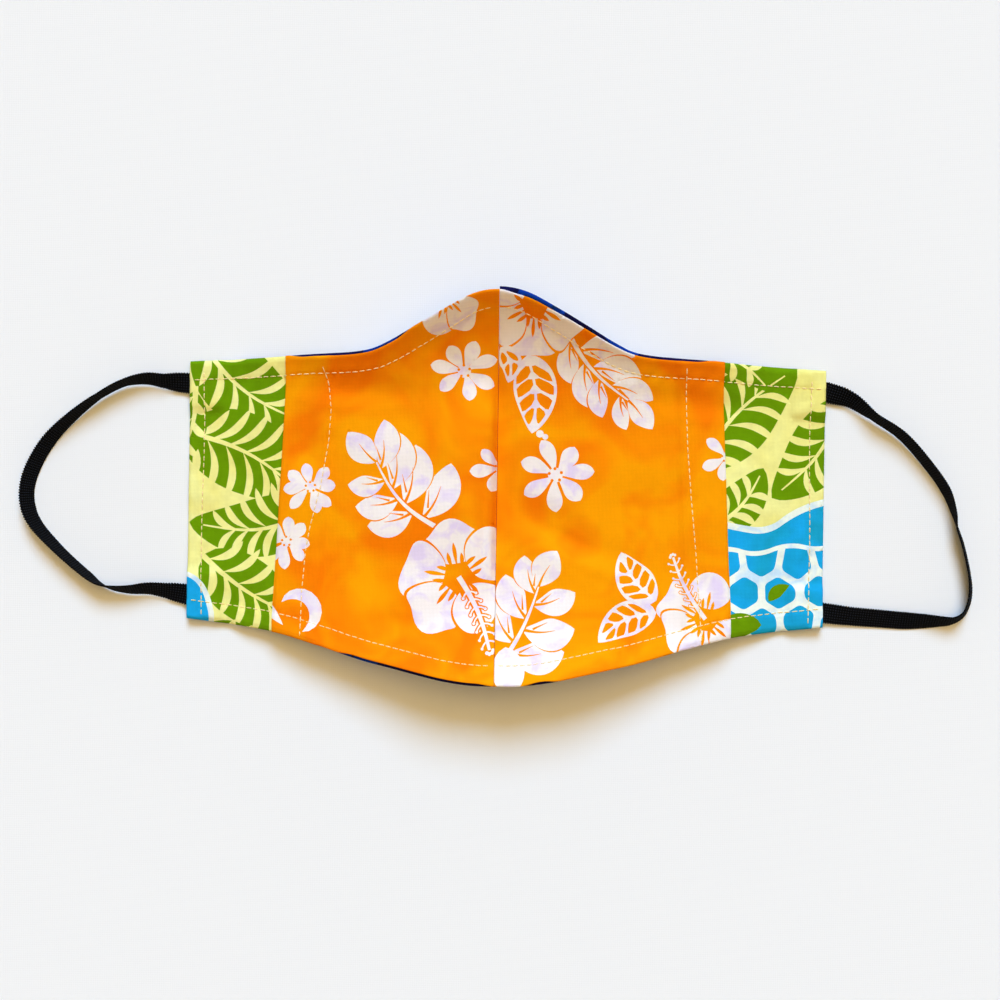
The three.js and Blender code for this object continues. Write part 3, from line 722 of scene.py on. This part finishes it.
# Colours of the inks, as sRGB.
INKS = {
    "face": {"ground": (252, 151, 0), "petal": (247, 239, 235)},
    "cheek": {"ground": (244, 238, 150), "pale": (244, 238, 150), "green": (114, 155, 3),
              "white": (243, 249, 237), "sky": (32, 172, 219)},
    "outer": {"ground": (26, 26, 84), "petal": (236, 238, 246), "royal": (14, 66, 168)},
}
WASHED = ("petal", "white")


def linear(rgb):
    """An sRGB colour as linear light."""
    return [c / 12.92 if c <= 0.04045 else ((c + 0.055) / 1.055) ** 2.4 for c in (v / 255 for v in rgb)]


def spaced(stops, step):
    """Places from the first stop to the last, through each stop, no further apart than step."""
    places = [stops[0]]
    for a, b in zip(stops, stops[1:]):
        count = max(1, ceil(abs(b - a) / step - 1e-6))
        places += [a + (b - a) * k / count for k in range(1, count + 1)]
    return places


# Stretches of the edges where the outer shell's rim shows beyond the lining.
RIM_SHOWN = {"nose": [(-68, -31), (3, 69)], "chin": [(-50, -3), (12, 19)]}
RIM_LEFT, RIM_FADE = 0.12, 3
EDGE_STOPS = (0, 0.1, 0.28, 0.55, 0.9, 1.5)
SEAM_GAP = 0.03
GRID = 1.15  # spacing of the cloth's own points, before the print's outlines are cut in
HEM_STOPS = EDGE_STOPS[1:] + (2.6, 3.7, 4.6, 5.1, 5.6, 6.1, 6.7, 7.6)
HEM_ZONE, PLAN_ROWS = 8.3, 96  # depth of the hems' own rows, and rows between the two hems
EDGE_RADIUS, SEAM_RADIUS, LIFTED, THINNEST = 0.9, 0.55, 0.3, 0.15


def past(place, x):
    """From 0 before a place to 1 after it, with a soft change."""
    return smooth(place - RIM_FADE, place + RIM_FADE, x)


def cover_at(half, across, kind):
    """How far the lining reaches over the outer shell's rim: all but where the rim shows."""
    x = half.side * (half.reach - across)
    bare = sum(past(first, x) * (1 - past(last, x)) for first, last in RIM_SHOWN[kind])
    return (EDGE_REVEAL - RIM_LEFT) * (1 - bare)


def reveal_at(half, across, kind):
    """How far the outer shell reaches beyond the lining, with its roll towards the nose."""
    near = clamp01(1 - share_of(half, across) / NOSE_ROLL_SHARE)
    return EDGE_REVEAL + (half.nose_roll * np.sqrt(near) if kind == "nose" else 0)


def plan_points(half, start, end, extra):
    """Rows of points over a panel in plan, from its chin edge to its nose edge, closer along the edges."""
    stops = [start + d for d in EDGE_STOPS] + [end - d for d in reversed(EDGE_STOPS)]
    columns = np.array(spaced(sorted(set(round(s, 4) for s in stops)), GRID))
    step_end = half.cheek_inner + STEP_LENGTH
    weight = np.where(columns < half.cheek_show, columns / half.cheek_show,
                      clamp01((half.reach - columns) / (half.reach - step_end)))
    places = [("chin", 0)] + [("chin", d) for d in HEM_STOPS]
    places += [("share", k / (PLAN_ROWS + 1)) for k in range(1, PLAN_ROWS + 1)]
    places += [("nose", d) for d in reversed(HEM_STOPS)] + [("nose", 0)]
    lines = []
    for kind, value in places:
        v = {"chin": -1, "nose": 1}.get(kind, 2 * value - 1)
        across = columns + CHEEK_LEAN * v * weight
        low, low_stretch = edge_line(chin_edge, half, across)
        high, high_stretch = edge_line(nose_edge, half, across)
        if kind == "chin":
            y = low + value * low_stretch - (extra(half, across, kind) if value == 0 else 0)
        elif kind == "nose":
            y = high - value * high_stretch + (extra(half, across, kind) if value == 0 else 0)
        else:
            bottom, top = low + HEM_ZONE * low_stretch, high - HEM_ZONE * high_stretch
            y = bottom + (top - bottom) * value
        lines.append(np.stack([half.side * (half.reach - across), y], axis=-1))
    return np.array(lines)


def inside(outline, x, y):
    """Which of the points lie inside a closed outline."""
    hit = np.zeros(len(x), bool)
    x1, y1 = outline[-1]
    for x2, y2 in outline:
        crosses = (y1 > y) != (y2 > y)
        if crosses.any() and y1 != y2:
            hit ^= crosses & (x < (x2 - x1) * (y - y1) / (y2 - y1) + x1)
        x1, y1 = x2, y2
    return hit


def printed_plan(lines, shapes):
    """Triangles over a panel in plan, cut along the print's outlines, and the ink of each."""
    tall, wide = lines.shape[:2]
    grid = lines.reshape(-1, 2)
    index = np.arange(tall * wide).reshape(tall, wide)
    rim = [*index[0], *index[1:, -1], *index[-1, -2::-1], *index[-2:0:-1, 0]]
    low, high = grid.min(0), grid.max(0)
    verts = [Vector((float(x), float(y))) for x, y in grid]
    edges = list(zip(rim, rim[1:] + rim[:1]))
    kept = []
    for ink, outline in shapes:
        if (np.max(outline, 0) < low).any() or (np.min(outline, 0) > high).any():
            continue
        start, count = len(verts), len(outline)
        verts += [Vector((float(x), float(y))) for x, y in outline]
        edges += [(start + k, start + (k + 1) % count) for k in range(count)]
        kept.append((ink, outline))
    out = delaunay_2d_cdt(verts, edges, [], 0, 1e-4, False)
    points = np.array([(v.x, v.y) for v in out[0]])
    faces = np.array(out[2])
    middles = points[faces].mean(1)
    inner = inside(grid[rim], middles[:, 0], middles[:, 1])
    faces, middles = faces[inner], middles[inner]
    a, b, c = (points[faces[:, k]] for k in range(3))
    turn = (b[:, 0] - a[:, 0]) * (c[:, 1] - a[:, 1]) - (b[:, 1] - a[:, 1]) * (c[:, 0] - a[:, 0])
    faces = np.where((turn < 0)[:, None], faces[:, ::-1], faces)
    whole = np.abs(turn) > 1e-7
    faces, middles = faces[whole], middles[whole]
    inks = np.array(["ground"] * len(faces), dtype=object)
    for ink, outline in kept:
        near = np.flatnonzero(((middles >= np.min(outline, 0)) & (middles <= np.max(outline, 0))).all(1))
        if len(near):
            inks[near[inside(outline, middles[near, 0], middles[near, 1])]] = ink
    used, faces = np.unique(faces, return_inverse=True)
    return points[used], faces.reshape(-1, 3), inks


def smooth_object(name, places, faces, materials):
    """A smoothly shaded mesh of places in the frame's metres, linked into the scene."""
    mesh = bpy.data.meshes.new(name)
    mesh.from_pydata([tuple(place) for place in places], [], faces)
    mesh.update()
    mesh.polygons.foreach_set("use_smooth", [True] * len(mesh.polygons))
    for material in materials:
        mesh.materials.append(material)
    thing = bpy.data.objects.new(name, mesh)
    bpy.context.collection.objects.link(thing)
    return thing


def mask_piece(name, places, faces, material):
    """A piece of the mask, which is all one body."""
    piece = smooth_object(name, places, faces, [material])
    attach(piece, "root")
    return piece


def cloth_piece(kind, half, layer, start, end, shapes, material, extra=cover_at):
    """One panel as a closed thickness of cloth, printed on both faces, with rounded edges."""
    points, faces, ink_of = printed_plan(plan_points(half, start, end, extra), shapes)
    x, y = points[:, 0], points[:, 1]
    across = half.reach - half.side * x
    nose, chin = edge_distances(half, across, y)
    nose, chin = nose + extra(half, across, "nose"), chin + extra(half, across, "chin")
    own_side = np.maximum(across if start == 0 else across - pocket_edge(half, y), 0)
    drop = rounding(np.minimum(np.minimum(nose, chin), own_side), EDGE_RADIUS)
    if end > half.cheek_inner:
        drop += rounding(end - across, SEAM_RADIUS)
    top = height_of(layer.top, half, across, y) - drop
    low = height_of(layer.low, half, across, y)
    low = np.minimum(low + drop * (low > LIFTED), top - THINNEST)
    count = len(points)
    faces = faces.tolist()
    sides = {side: ink for (a, b, c), ink in zip(faces, ink_of) for side in ((a, b), (b, c), (c, a))}
    walls = [side for side in sides if side[::-1] not in sides]
    polygons = faces + [(c + count, b + count, a + count) for a, b, c in faces]
    polygons += [(b, a, a + count, b + count) for a, b in walls]
    places = np.concatenate([to_frame(x, y, top), to_frame(x, y, low)])
    piece = mask_piece(f"{kind}_cloth_{half.name}", places, polygons, material)
    inks = list(ink_of) * 2 + [sides[side] for side in walls]
    colour = {ink: linear(rgb) + [1.0] for ink, rgb in INKS[kind].items()}
    paint = piece.data.color_attributes.new("print", "FLOAT_COLOR", "CORNER")
    wash = piece.data.attributes.new("wash", "FLOAT", "FACE")
    corners = np.repeat([colour[ink] for ink in inks], [len(polygon) for polygon in polygons], axis=0)
    paint.data.foreach_set("color", corners.astype(np.float32).ravel())
    wash.data.foreach_set("value", np.array([ink in WASHED for ink in inks], np.float32))
    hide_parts(f"{kind}_panel_{half.name}")
    return piece


# Materials.

class Surface:
    """A material in the making: its shader, and short calls for the nodes that feed it."""

    def __init__(self, name, attribute=None):
        self.material = bpy.data.materials.new(name)
        self.material.use_nodes = True
        self.tree = self.material.node_tree
        self.tree.nodes.clear()
        output = self.tree.nodes.new("ShaderNodeOutputMaterial")
        self.shader = self.tree.nodes.new("ShaderNodeBsdfPrincipled")
        self.tree.links.new(self.shader.outputs[0], output.inputs[0])
        coordinates = self.attribute(attribute) if attribute else self.add("ShaderNodeTexCoord")
        self.place = coordinates["Vector" if attribute else "Object"]

    def feed(self, node, inputs):
        for key, value in inputs.items():
            if hasattr(value, "node"):
                self.tree.links.new(value, node.inputs[key])
            else:
                node.inputs[key].default_value = value

    def add(self, kind, inputs=None, **settings):
        node = self.tree.nodes.new(kind)
        for key, value in settings.items():
            setattr(node, key, value)
        self.feed(node, inputs or {})
        return node.outputs

    def attribute(self, name):
        return self.add("ShaderNodeAttribute", attribute_name=name)

    def noise(self, scale, detail, distortion=0.0):
        return self.add("ShaderNodeTexNoise", {"Vector": self.place, "Scale": scale, "Detail": detail,
                                               "Distortion": distortion})["Fac"]

    def bands(self, direction, scale, distortion, detail):
        return self.add("ShaderNodeTexWave", {"Vector": self.place, "Scale": scale, "Distortion": distortion,
                                              "Detail": detail}, bands_direction=direction)["Fac"]

    def spread(self, value, limits, result=(0.0, 1.0)):
        return self.add("ShaderNodeMapRange", {"Value": value, "From Min": limits[0], "From Max": limits[1],
                                               "To Min": result[0], "To Max": result[1]})["Result"]

    def combined(self, a, b, operation="ADD"):
        return self.add("ShaderNodeMath", {0: a, 1: b}, operation=operation)[0]

    def mix(self, amount, a, b, blend="MIX"):
        return self.add("ShaderNodeMix", {0: amount, 6: a, 7: b}, data_type="RGBA", blend_type=blend)[2]

    def bump(self, height, strength, distance):
        return self.add("ShaderNodeBump", {"Strength": strength, "Distance": distance,
                                           "Height": height})["Normal"]

    def finished(self, inputs):
        self.feed(self.shader, inputs)
        return self.material


def printed_cotton(name, wash_colour, shade, deep, bright):
    """Printed plain-weave cotton: ink from the cloth's own attribute, uneven dye, watery white, and weave,
    with painted shade between its threads.
    """
    cloth = Surface(name)
    ink, washed = cloth.attribute("print")["Color"], cloth.attribute("wash")["Fac"]
    cloud = cloth.spread(cloth.noise(140.0, 3.0, 0.6), (0.47, 0.66))
    tinted = cloth.mix(cloth.combined(cloud, washed, "MULTIPLY"), ink, (*linear(wash_colour), 1))
    pool = cloth.spread(cloth.noise(42.0, 2.0, 0.8), (0.36, 0.64))
    dye = cloth.mix(pool, (*deep, 1), (*bright, 1))
    tinted = cloth.mix(cloth.combined(1.0, washed, "SUBTRACT"), tinted, dye, "MULTIPLY")
    uneven = cloth.spread(cloth.noise(300.0, 5.0), (0.0, 1.0), (1 - shade, 1 + shade))
    toned = cloth.mix(1.0, tinted, uneven, "MULTIPLY")
    weave = cloth.combined(cloth.bands("X", 700.0, 0.5, 1.0), cloth.bands("Y", 700.0, 0.5, 1.0), "MULTIPLY")
    # Painted shade: the colour is darker between the threads of the weave and a little lighter on them.
    weave_painted_shade = cloth.spread(weave, (0.0, 1.0), (0.93, 1.03))
    relief = cloth.combined(weave, cloth.noise(2200.0, 2.0))
    return cloth.finished({"Base Color": cloth.mix(1.0, toned, weave_painted_shade, "MULTIPLY"),
                           "Normal": cloth.bump(relief, 0.35, 0.00012), "Roughness": 0.9,
                           "Specular IOR Level": 0.08})


def thread_material():
    thread = Surface("sewing_thread")
    twist = thread.bands("DIAGONAL", 900.0, 1.0, 2.0)
    # Painted shade and highlight: the thread is lighter on the ridges of its twist and darker in the grooves
    # between them.
    tone = thread.mix(twist, (*linear((240, 206, 130)), 1), (*linear((255, 238, 190)), 1))
    return thread.finished({"Base Color": tone, "Normal": thread.bump(twist, 0.4, 0.0001), "Roughness": 0.6,
                            "Sheen Weight": 0.2})


def elastic_material():
    """Black braided elastic: small slanting stitches between its ribs, with a painted highlight on their
    crests.
    """
    elastic = Surface("black_elastic", "braid")
    course, wale = elastic.bands("X", 370.0, 0.8, 1.0), elastic.bands("Y", 350.0, 0.5, 1.0)
    braid = elastic.combined(course, wale, "MULTIPLY")
    # Painted highlight: the braid's raised crests are lighter than the black between them.
    crest_painted_highlight = elastic.spread(braid, (0.35, 0.95))
    tone = elastic.mix(crest_painted_highlight, (0.0008, 0.0009, 0.0012, 1), (0.034, 0.036, 0.046, 1))
    relief = elastic.combined(braid, elastic.noise(1600.0, 3.0))
    return elastic.finished({"Base Color": tone, "Normal": elastic.bump(relief, 0.6, 0.0003),
                             "Roughness": 0.7, "Specular IOR Level": 0.07})


# Ear loops.

STRAP_THICKNESS = 0.65  # of the looks, a little thinner than the solid
RIBS = 8
RIB_DEPTH = 0.09
EDGE_TEETH = 0.4  # how far the edge of the elastic is notched between its teeth
BRAID_PITCH = 0.85
RING_STEP = 0.2
SPLINE_STEPS = 60  # to a point of the route, for measuring its length
SEAT_RUN = 5  # over which each end comes down to its seat


def catmull(points, t, power=0.5):
    """A centripetal curve through points, at a place counted in points."""
    k = min(int(t), len(points) - 2)
    s = t - k
    p1, p2 = points[k], points[k + 1]
    p0 = points[k - 1] if k > 0 else 2 * p1 - p2
    p3 = points[k + 2] if k + 2 < len(points) else 2 * p2 - p1
    d0, d1, d2 = (max(np.linalg.norm(b - a) ** power, 1e-6) for a, b in ((p0, p1), (p1, p2), (p2, p3)))
    m1 = ((p1 - p0) / d0 - (p2 - p0) / (d0 + d1) + (p2 - p1) / d1) * d1
    m2 = ((p2 - p1) / d1 - (p3 - p1) / (d1 + d2) + (p3 - p2) / d2) * d1
    s2, s3 = s * s, s * s * s
    return (2 * s3 - 3 * s2 + 1) * p1 + (s3 - 2 * s2 + s) * m1 + (3 * s2 - 2 * s3) * p2 + (s3 - s2) * m2


def elastic_section():
    """The section's points: share across and share up, with ribs on both faces."""
    over = []
    count = RIBS * 4
    for k in range(count + 1):
        across = 0.5 - k / count
        rim = sqrt(max(0, 1 - (2 * abs(across)) ** 8))
        rib = 1 - RIB_DEPTH / STRAP_THICKNESS * (1 + cos(2 * pi * RIBS * k / count))
        over.append((across, 0.5 * rim * rib))
    under = [(across, -up) for across, up in reversed(over[1:-1])]
    return over + under


def ear_loop(half, material):
    """The twisted elastic of one side, from tucked end to tucked end."""
    side = half.side
    plan = [np.array((side * (half.reach + out * half.loop_reach),
                      half.chin_end + (half.nose_end - half.chin_end) * up)) for out, up, _, _ in half.route]
    tilts, lifts = [row[2] for row in half.route], [row[3] for row in half.route]
    seat = CLOTH_WALL + LAYER_GAP + ELASTIC_THICKNESS / 2
    section = elastic_section()
    stations = range(len(plan))
    last = len(plan) - 1
    fine = np.linspace(0, last, last * SPLINE_STEPS + 1)
    curve = np.array([catmull(plan, t) for t in fine])
    run = np.concatenate([[0], np.cumsum(np.linalg.norm(np.diff(curve, axis=0), axis=1))])
    steps = int(run[-1] / RING_STEP)
    rings = []
    for k in range(steps + 1):
        s = run[-1] * k / steps
        t = float(np.interp(s, run, fine))
        tilt = radians(np.interp(t, stations, tilts))
        tangent = catmull(plan, min(t + 0.02, last)) - catmull(plan, max(t - 0.02, 0))
        tangent /= np.linalg.norm(tangent)
        if k in (0, steps):
            tangent = np.array((side * (1.0 if k == 0 else -1.0), 0.0))
        over = side * cos(tilt)
        across = np.array((-tangent[1] * over, tangent[0] * over, sin(tilt)))
        up = side * np.cross(across, np.array((*tangent, 0)))
        notch = EDGE_TEETH * (0.5 + 0.5 * cos(2 * pi * s / BRAID_PITCH))
        ring = np.array([(a * ELASTIC_WIDTH - copysign(notch, a) * smooth(0.38, 0.5, abs(a))) * across
                         + u * STRAP_THICKNESS * up for a, u in section])
        z = float(np.interp(t, stations, lifts)) - ring[:, 2].min()
        z = seat + (z - seat) * smooth(0, SEAT_RUN, min(s, run[-1] - s))
        rings.append((np.array((*catmull(plan, t), z)) + ring, s))
    tuck = np.array((side * ELASTIC_TUCK, 0, 0))
    rings = [(rings[0][0] - tuck, -ELASTIC_TUCK)] + rings + [(rings[-1][0] - tuck, run[-1] + ELASTIC_TUCK)]
    around = len(section)
    faces = [(i + k, i + (k + 1) % around, i + (k + 1) % around + around, i + k + around)
             for i in range(0, (len(rings) - 1) * around, around) for k in range(around)]
    faces += [tuple(reversed(range(around))), tuple(range((len(rings) - 1) * around, len(rings) * around))]
    if side > 0:
        faces = [face[::-1] for face in faces]
    places = to_frame(*np.concatenate([ring for ring, _ in rings]).T)
    piece = mask_piece(f"elastic_{half.name}", places, faces, material)
    braid = piece.data.attributes.new("braid", "FLOAT_VECTOR", "POINT")
    lengths = np.repeat([s for _, s in rings], around) * MM
    widths = np.tile([a * ELASTIC_WIDTH for a, _ in section], len(rings)) * MM
    braid.data.foreach_set("vector", np.stack([lengths, widths, 0 * widths], -1).astype(np.float32).ravel())
    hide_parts(f"ear_loop_{half.name}")
    return piece


# Topstitching.

STITCH_PITCH = 2.35
STITCH_LENGTH = 1.92
THREAD = 0.38
STITCH_SIDES = 6
UNEVEN_START, UNEVEN_LENGTH, UNEVEN_LINE = 0.1, 0.12, 0.07  # how far a stitch strays
FIRST_STITCH, LINE_MARGIN, LINE_POINTS = 0.4, 0.8, 200
NOSE_HEM_NARROWS = 0.2  # towards the seam, as a share of the hem
POCKET_STITCH_IN = 11
# The rings of a stitch: place along it and size as shares of its length and radius.
STITCH_RINGS = ((0.0, 0.25), (0.1, 0.8), (0.35, 1.0), (0.65, 1.0), (0.9, 0.8), (1.0, 0.25))


def stitch(a, b, up, radius, verts, faces):
    """One stitch: a short thread that rises from the cloth and dives back in."""
    axis = b - a
    sideways = np.cross(up, axis)
    sideways /= np.linalg.norm(sideways)
    lift = np.cross(axis, sideways) / np.linalg.norm(axis)
    start = len(verts)
    for t, size in STITCH_RINGS:
        middle = a + axis * t + lift * (radius * (1.1 * sin(pi * t) - 0.35))
        for k in range(STITCH_SIDES):
            angle = 2 * pi * k / STITCH_SIDES
            verts.append(middle + radius * size * (cos(angle) * sideways + sin(angle) * lift))
    last = len(verts) - STITCH_SIDES
    for ring in range(start, last, STITCH_SIDES):
        for k in range(STITCH_SIDES):
            p, q = ring + k, ring + (k + 1) % STITCH_SIDES
            faces.append((p, q, q + STITCH_SIDES, p + STITCH_SIDES))
    faces.append(tuple(range(start + STITCH_SIDES - 1, start - 1, -1)))
    faces.append(tuple(range(last, last + STITCH_SIDES)))


def between_edges(half, across):
    """Places up a panel, from the chin edge to the nose edge, at one place across a half."""
    low, high = chin_edge(half, across), nose_edge(half, across)
    return np.linspace(low + LINE_MARGIN, high - LINE_MARGIN, LINE_POINTS)


def stitch_lines(half):
    """The topstitched lines of one half in plan: nose hem, chin hem, side hem and pocket hem."""
    lines = []
    across = np.linspace(1.2, half.reach - 0.6, 240)
    for edge, sign in ((nose_edge, -1), (chin_edge, 1)):
        height, stretch = edge_line(edge, half, across)
        narrower = NOSE_HEM_NARROWS * smooth(0.72, 1, across / half.reach) * (edge is nose_edge)
        lines.append((across, height + sign * HEM_WIDTH * (1 - narrower) * stretch))
    y = between_edges(half, SIDE_HEM_WIDTH)
    lines.append((SIDE_HEM_WIDTH - 0.3 + 0.25 * np.sin(y / 11), y))
    y = between_edges(half, half.cheek_show + POCKET_STITCH_IN)
    lines.append((pocket_edge(half, y) + pocket_stitch(half, y), y))
    return lines


def lining_top(half, across, y):
    over_face = across > pocket_edge(half, y) + 0.2
    face = height_of(FACE.top, half, across, y)
    cheek = height_of(CHEEK.top, half, across, y)
    return np.where(over_face, face, cheek)


def shell_low(half, across, y):
    return height_of(OUTER.low, half, across, y)


def topstitching(name, surface, up, material, count):
    """The stitches of the first lines of each half, on the upper or lower side of the cloth."""
    verts, faces = [], []
    rng = np.random.default_rng(21)
    for half in (LEFT, RIGHT):
        for across, y in stitch_lines(half)[:count]:
            run = np.concatenate([[0], np.cumsum(np.hypot(np.diff(across), np.diff(y)))])
            starts = np.arange(FIRST_STITCH, run[-1] - STITCH_PITCH, STITCH_PITCH)
            starts = starts + rng.uniform(-UNEVEN_START, UNEVEN_START, len(starts))
            ends = starts + STITCH_LENGTH + rng.uniform(-UNEVEN_LENGTH, UNEVEN_LENGTH, len(starts))
            for place in zip(starts, ends):
                columns, heights = np.interp(place, run, across), np.interp(place, run, y)
                z = surface(half, columns, heights)
                if up < 0 and z.min() < THREAD:
                    continue
                heights = heights + rng.uniform(-UNEVEN_LINE, UNEVEN_LINE, 2)
                a, b = np.stack([half.side * (half.reach - columns), heights, z], axis=-1)
                stitch(a, b, np.array((0, 0, up)), THREAD / 2, verts, faces)
    return mask_piece(name, to_frame(*np.array(verts).T), faces, material)


# Camera, floor and light.

CAMERA_HEIGHT = 620.0
VIEW_WIDTH = 340.0  # of the surface, across the picture
VIEW_MIDDLE = (1.1, -4.06)
CAMERA_ROLL = 0.85  # degrees, by which the mask lies turned in the picture
BACKDROP_GLOW = 0.96  # as bright as the lit surface
FLOOR_REACHES = (1, 3, 9)  # metres, of the surface's level rings
BACKDROP_RADIUS, FLOOR_SIDES = 2.4, 96


def camera():
    data = bpy.data.cameras.new("camera")
    data.sensor_fit = "HORIZONTAL"
    data.sensor_width = 36
    data.lens = 36 * CAMERA_HEIGHT / VIEW_WIDTH
    eye = bpy.data.objects.new("camera", data)
    eye.location = to_frame(VIEW_MIDDLE[0], VIEW_MIDDLE[1], CAMERA_HEIGHT)
    eye.rotation_euler = (0, 0, radians(CAMERA_ROLL))
    bpy.context.collection.objects.link(eye)
    bpy.context.scene.camera = eye


def floor():
    """A pale surface that runs out to a softly glowing backdrop, which looks the same from all sides."""
    canvas = Surface("pale_surface")
    threads = canvas.combined(canvas.bands("X", 420.0, 1.5, 2.0), canvas.bands("Y", 420.0, 1.5, 2.0))
    canvas.finished({"Normal": canvas.bump(threads, 0.12, 0.0001), "Base Color": (0.85, 0.85, 0.85, 1),
                     "Roughness": 0.9})
    backdrop = Surface("pale_backdrop")
    backdrop.finished({"Base Color": (0, 0, 0, 1), "Specular IOR Level": 0, "Emission Color": (1, 1, 1, 1),
                       "Emission Strength": BACKDROP_GLOW})
    profile = [(reach, 0) for reach in FLOOR_REACHES]
    profile += [(FLOOR_REACHES[-1] + BACKDROP_RADIUS * sin(turn), BACKDROP_RADIUS * (1 - cos(turn)))
                for turn in np.linspace(0.2, 1.5, 8)]
    around = [2 * pi * k / FLOOR_SIDES for k in range(FLOOR_SIDES)]
    verts = [(0, 0, 0)] + [(reach * cos(turn), reach * sin(turn), rise)
                           for reach, rise in profile for turn in around]
    faces, glowing = [], []
    for k in range(FLOOR_SIDES):
        after = (k + 1) % FLOOR_SIDES
        faces.append((0, 1 + k, 1 + after))
        glowing.append(False)
        for ring in range(len(profile) - 1):
            inner, outer = 1 + ring * FLOOR_SIDES, 1 + (ring + 1) * FLOOR_SIDES
            faces.append((inner + k, outer + k, outer + after, inner + after))
            glowing.append(ring >= len(FLOOR_REACHES) - 1)
    surface = smooth_object("floor", verts, faces, [canvas.material, backdrop.material])
    surface.data.polygons.foreach_set("material_index", glowing)


def soft_sun(name, toward_light, softness, strength, colour):
    """An even light from far away, as soft as a large window of that many degrees."""
    data = bpy.data.lights.new(name, "SUN")
    data.angle = radians(softness)
    data.energy = strength
    data.color = colour
    lamp = bpy.data.objects.new(name, data)
    lamp.rotation_euler = Vector(toward_light).to_track_quat("Z", "Y").to_euler()
    bpy.context.collection.objects.link(lamp)


def lights():
    """Cool daylight from beyond the nose edge and warm light from overhead."""
    world = bpy.data.worlds.new("room")
    world.use_nodes = True
    background = world.node_tree.nodes["Background"]
    background.inputs[0].default_value = (1.0, 0.8, 0.52, 1)
    background.inputs[1].default_value = 0.25
    bpy.context.scene.world = world
    soft_sun("daylight", (0.06, 0.93, 0.9), 27, 3.52, (0.41, 0.65, 1.0))
    soft_sun("ceiling_light", (0.05, 0.17, 1.0), 55, 1.5, (1.0, 0.72, 0.3))
    bpy.context.scene.view_settings.view_transform = "Standard"
    bpy.context.scene.view_settings.gamma = 0.9


def main():
    camera()
    elastic = elastic_material()
    for half in (LEFT, RIGHT):
        ear_loop(half, elastic)
    face_cotton = printed_cotton("orange_print", (231, 216, 240), 0.045, (0.97, 0.76, 0.7), (1.0, 1.22, 1.2))
    cheek_cotton = printed_cotton("green_print", (206, 230, 246), 0.13, (0.97, 0.95, 0.86), (1.02, 1.05, 1.2))
    outer_cotton = printed_cotton("navy_print", (206, 214, 244), 0.05, (0.9, 0.9, 0.9), (1.1, 1.1, 1.1))
    for half in (LEFT, RIGHT):
        seam = half.reach - SEAM_GAP
        face_shapes, cheek_shapes = drawn(FACE_PRINT[half.name]), drawn(CHEEK_PRINT[half.name])
        face = cloth_piece("face", half, FACE, half.cheek_show, seam, face_shapes, face_cotton)
        cheek = cloth_piece("cheek", half, CHEEK, 0, half.cheek_inner, cheek_shapes, cheek_cotton)
        outer = cloth_piece("outer", half, OUTER, 0, seam, outer_print(half.side), outer_cotton, reveal_at)
    thread = thread_material()
    topstitching("lining_stitches", lining_top, 1.0, thread, 4)
    topstitching("shell_stitches", shell_low, -1.0, thread, 3)
    floor()
    lights()


main()
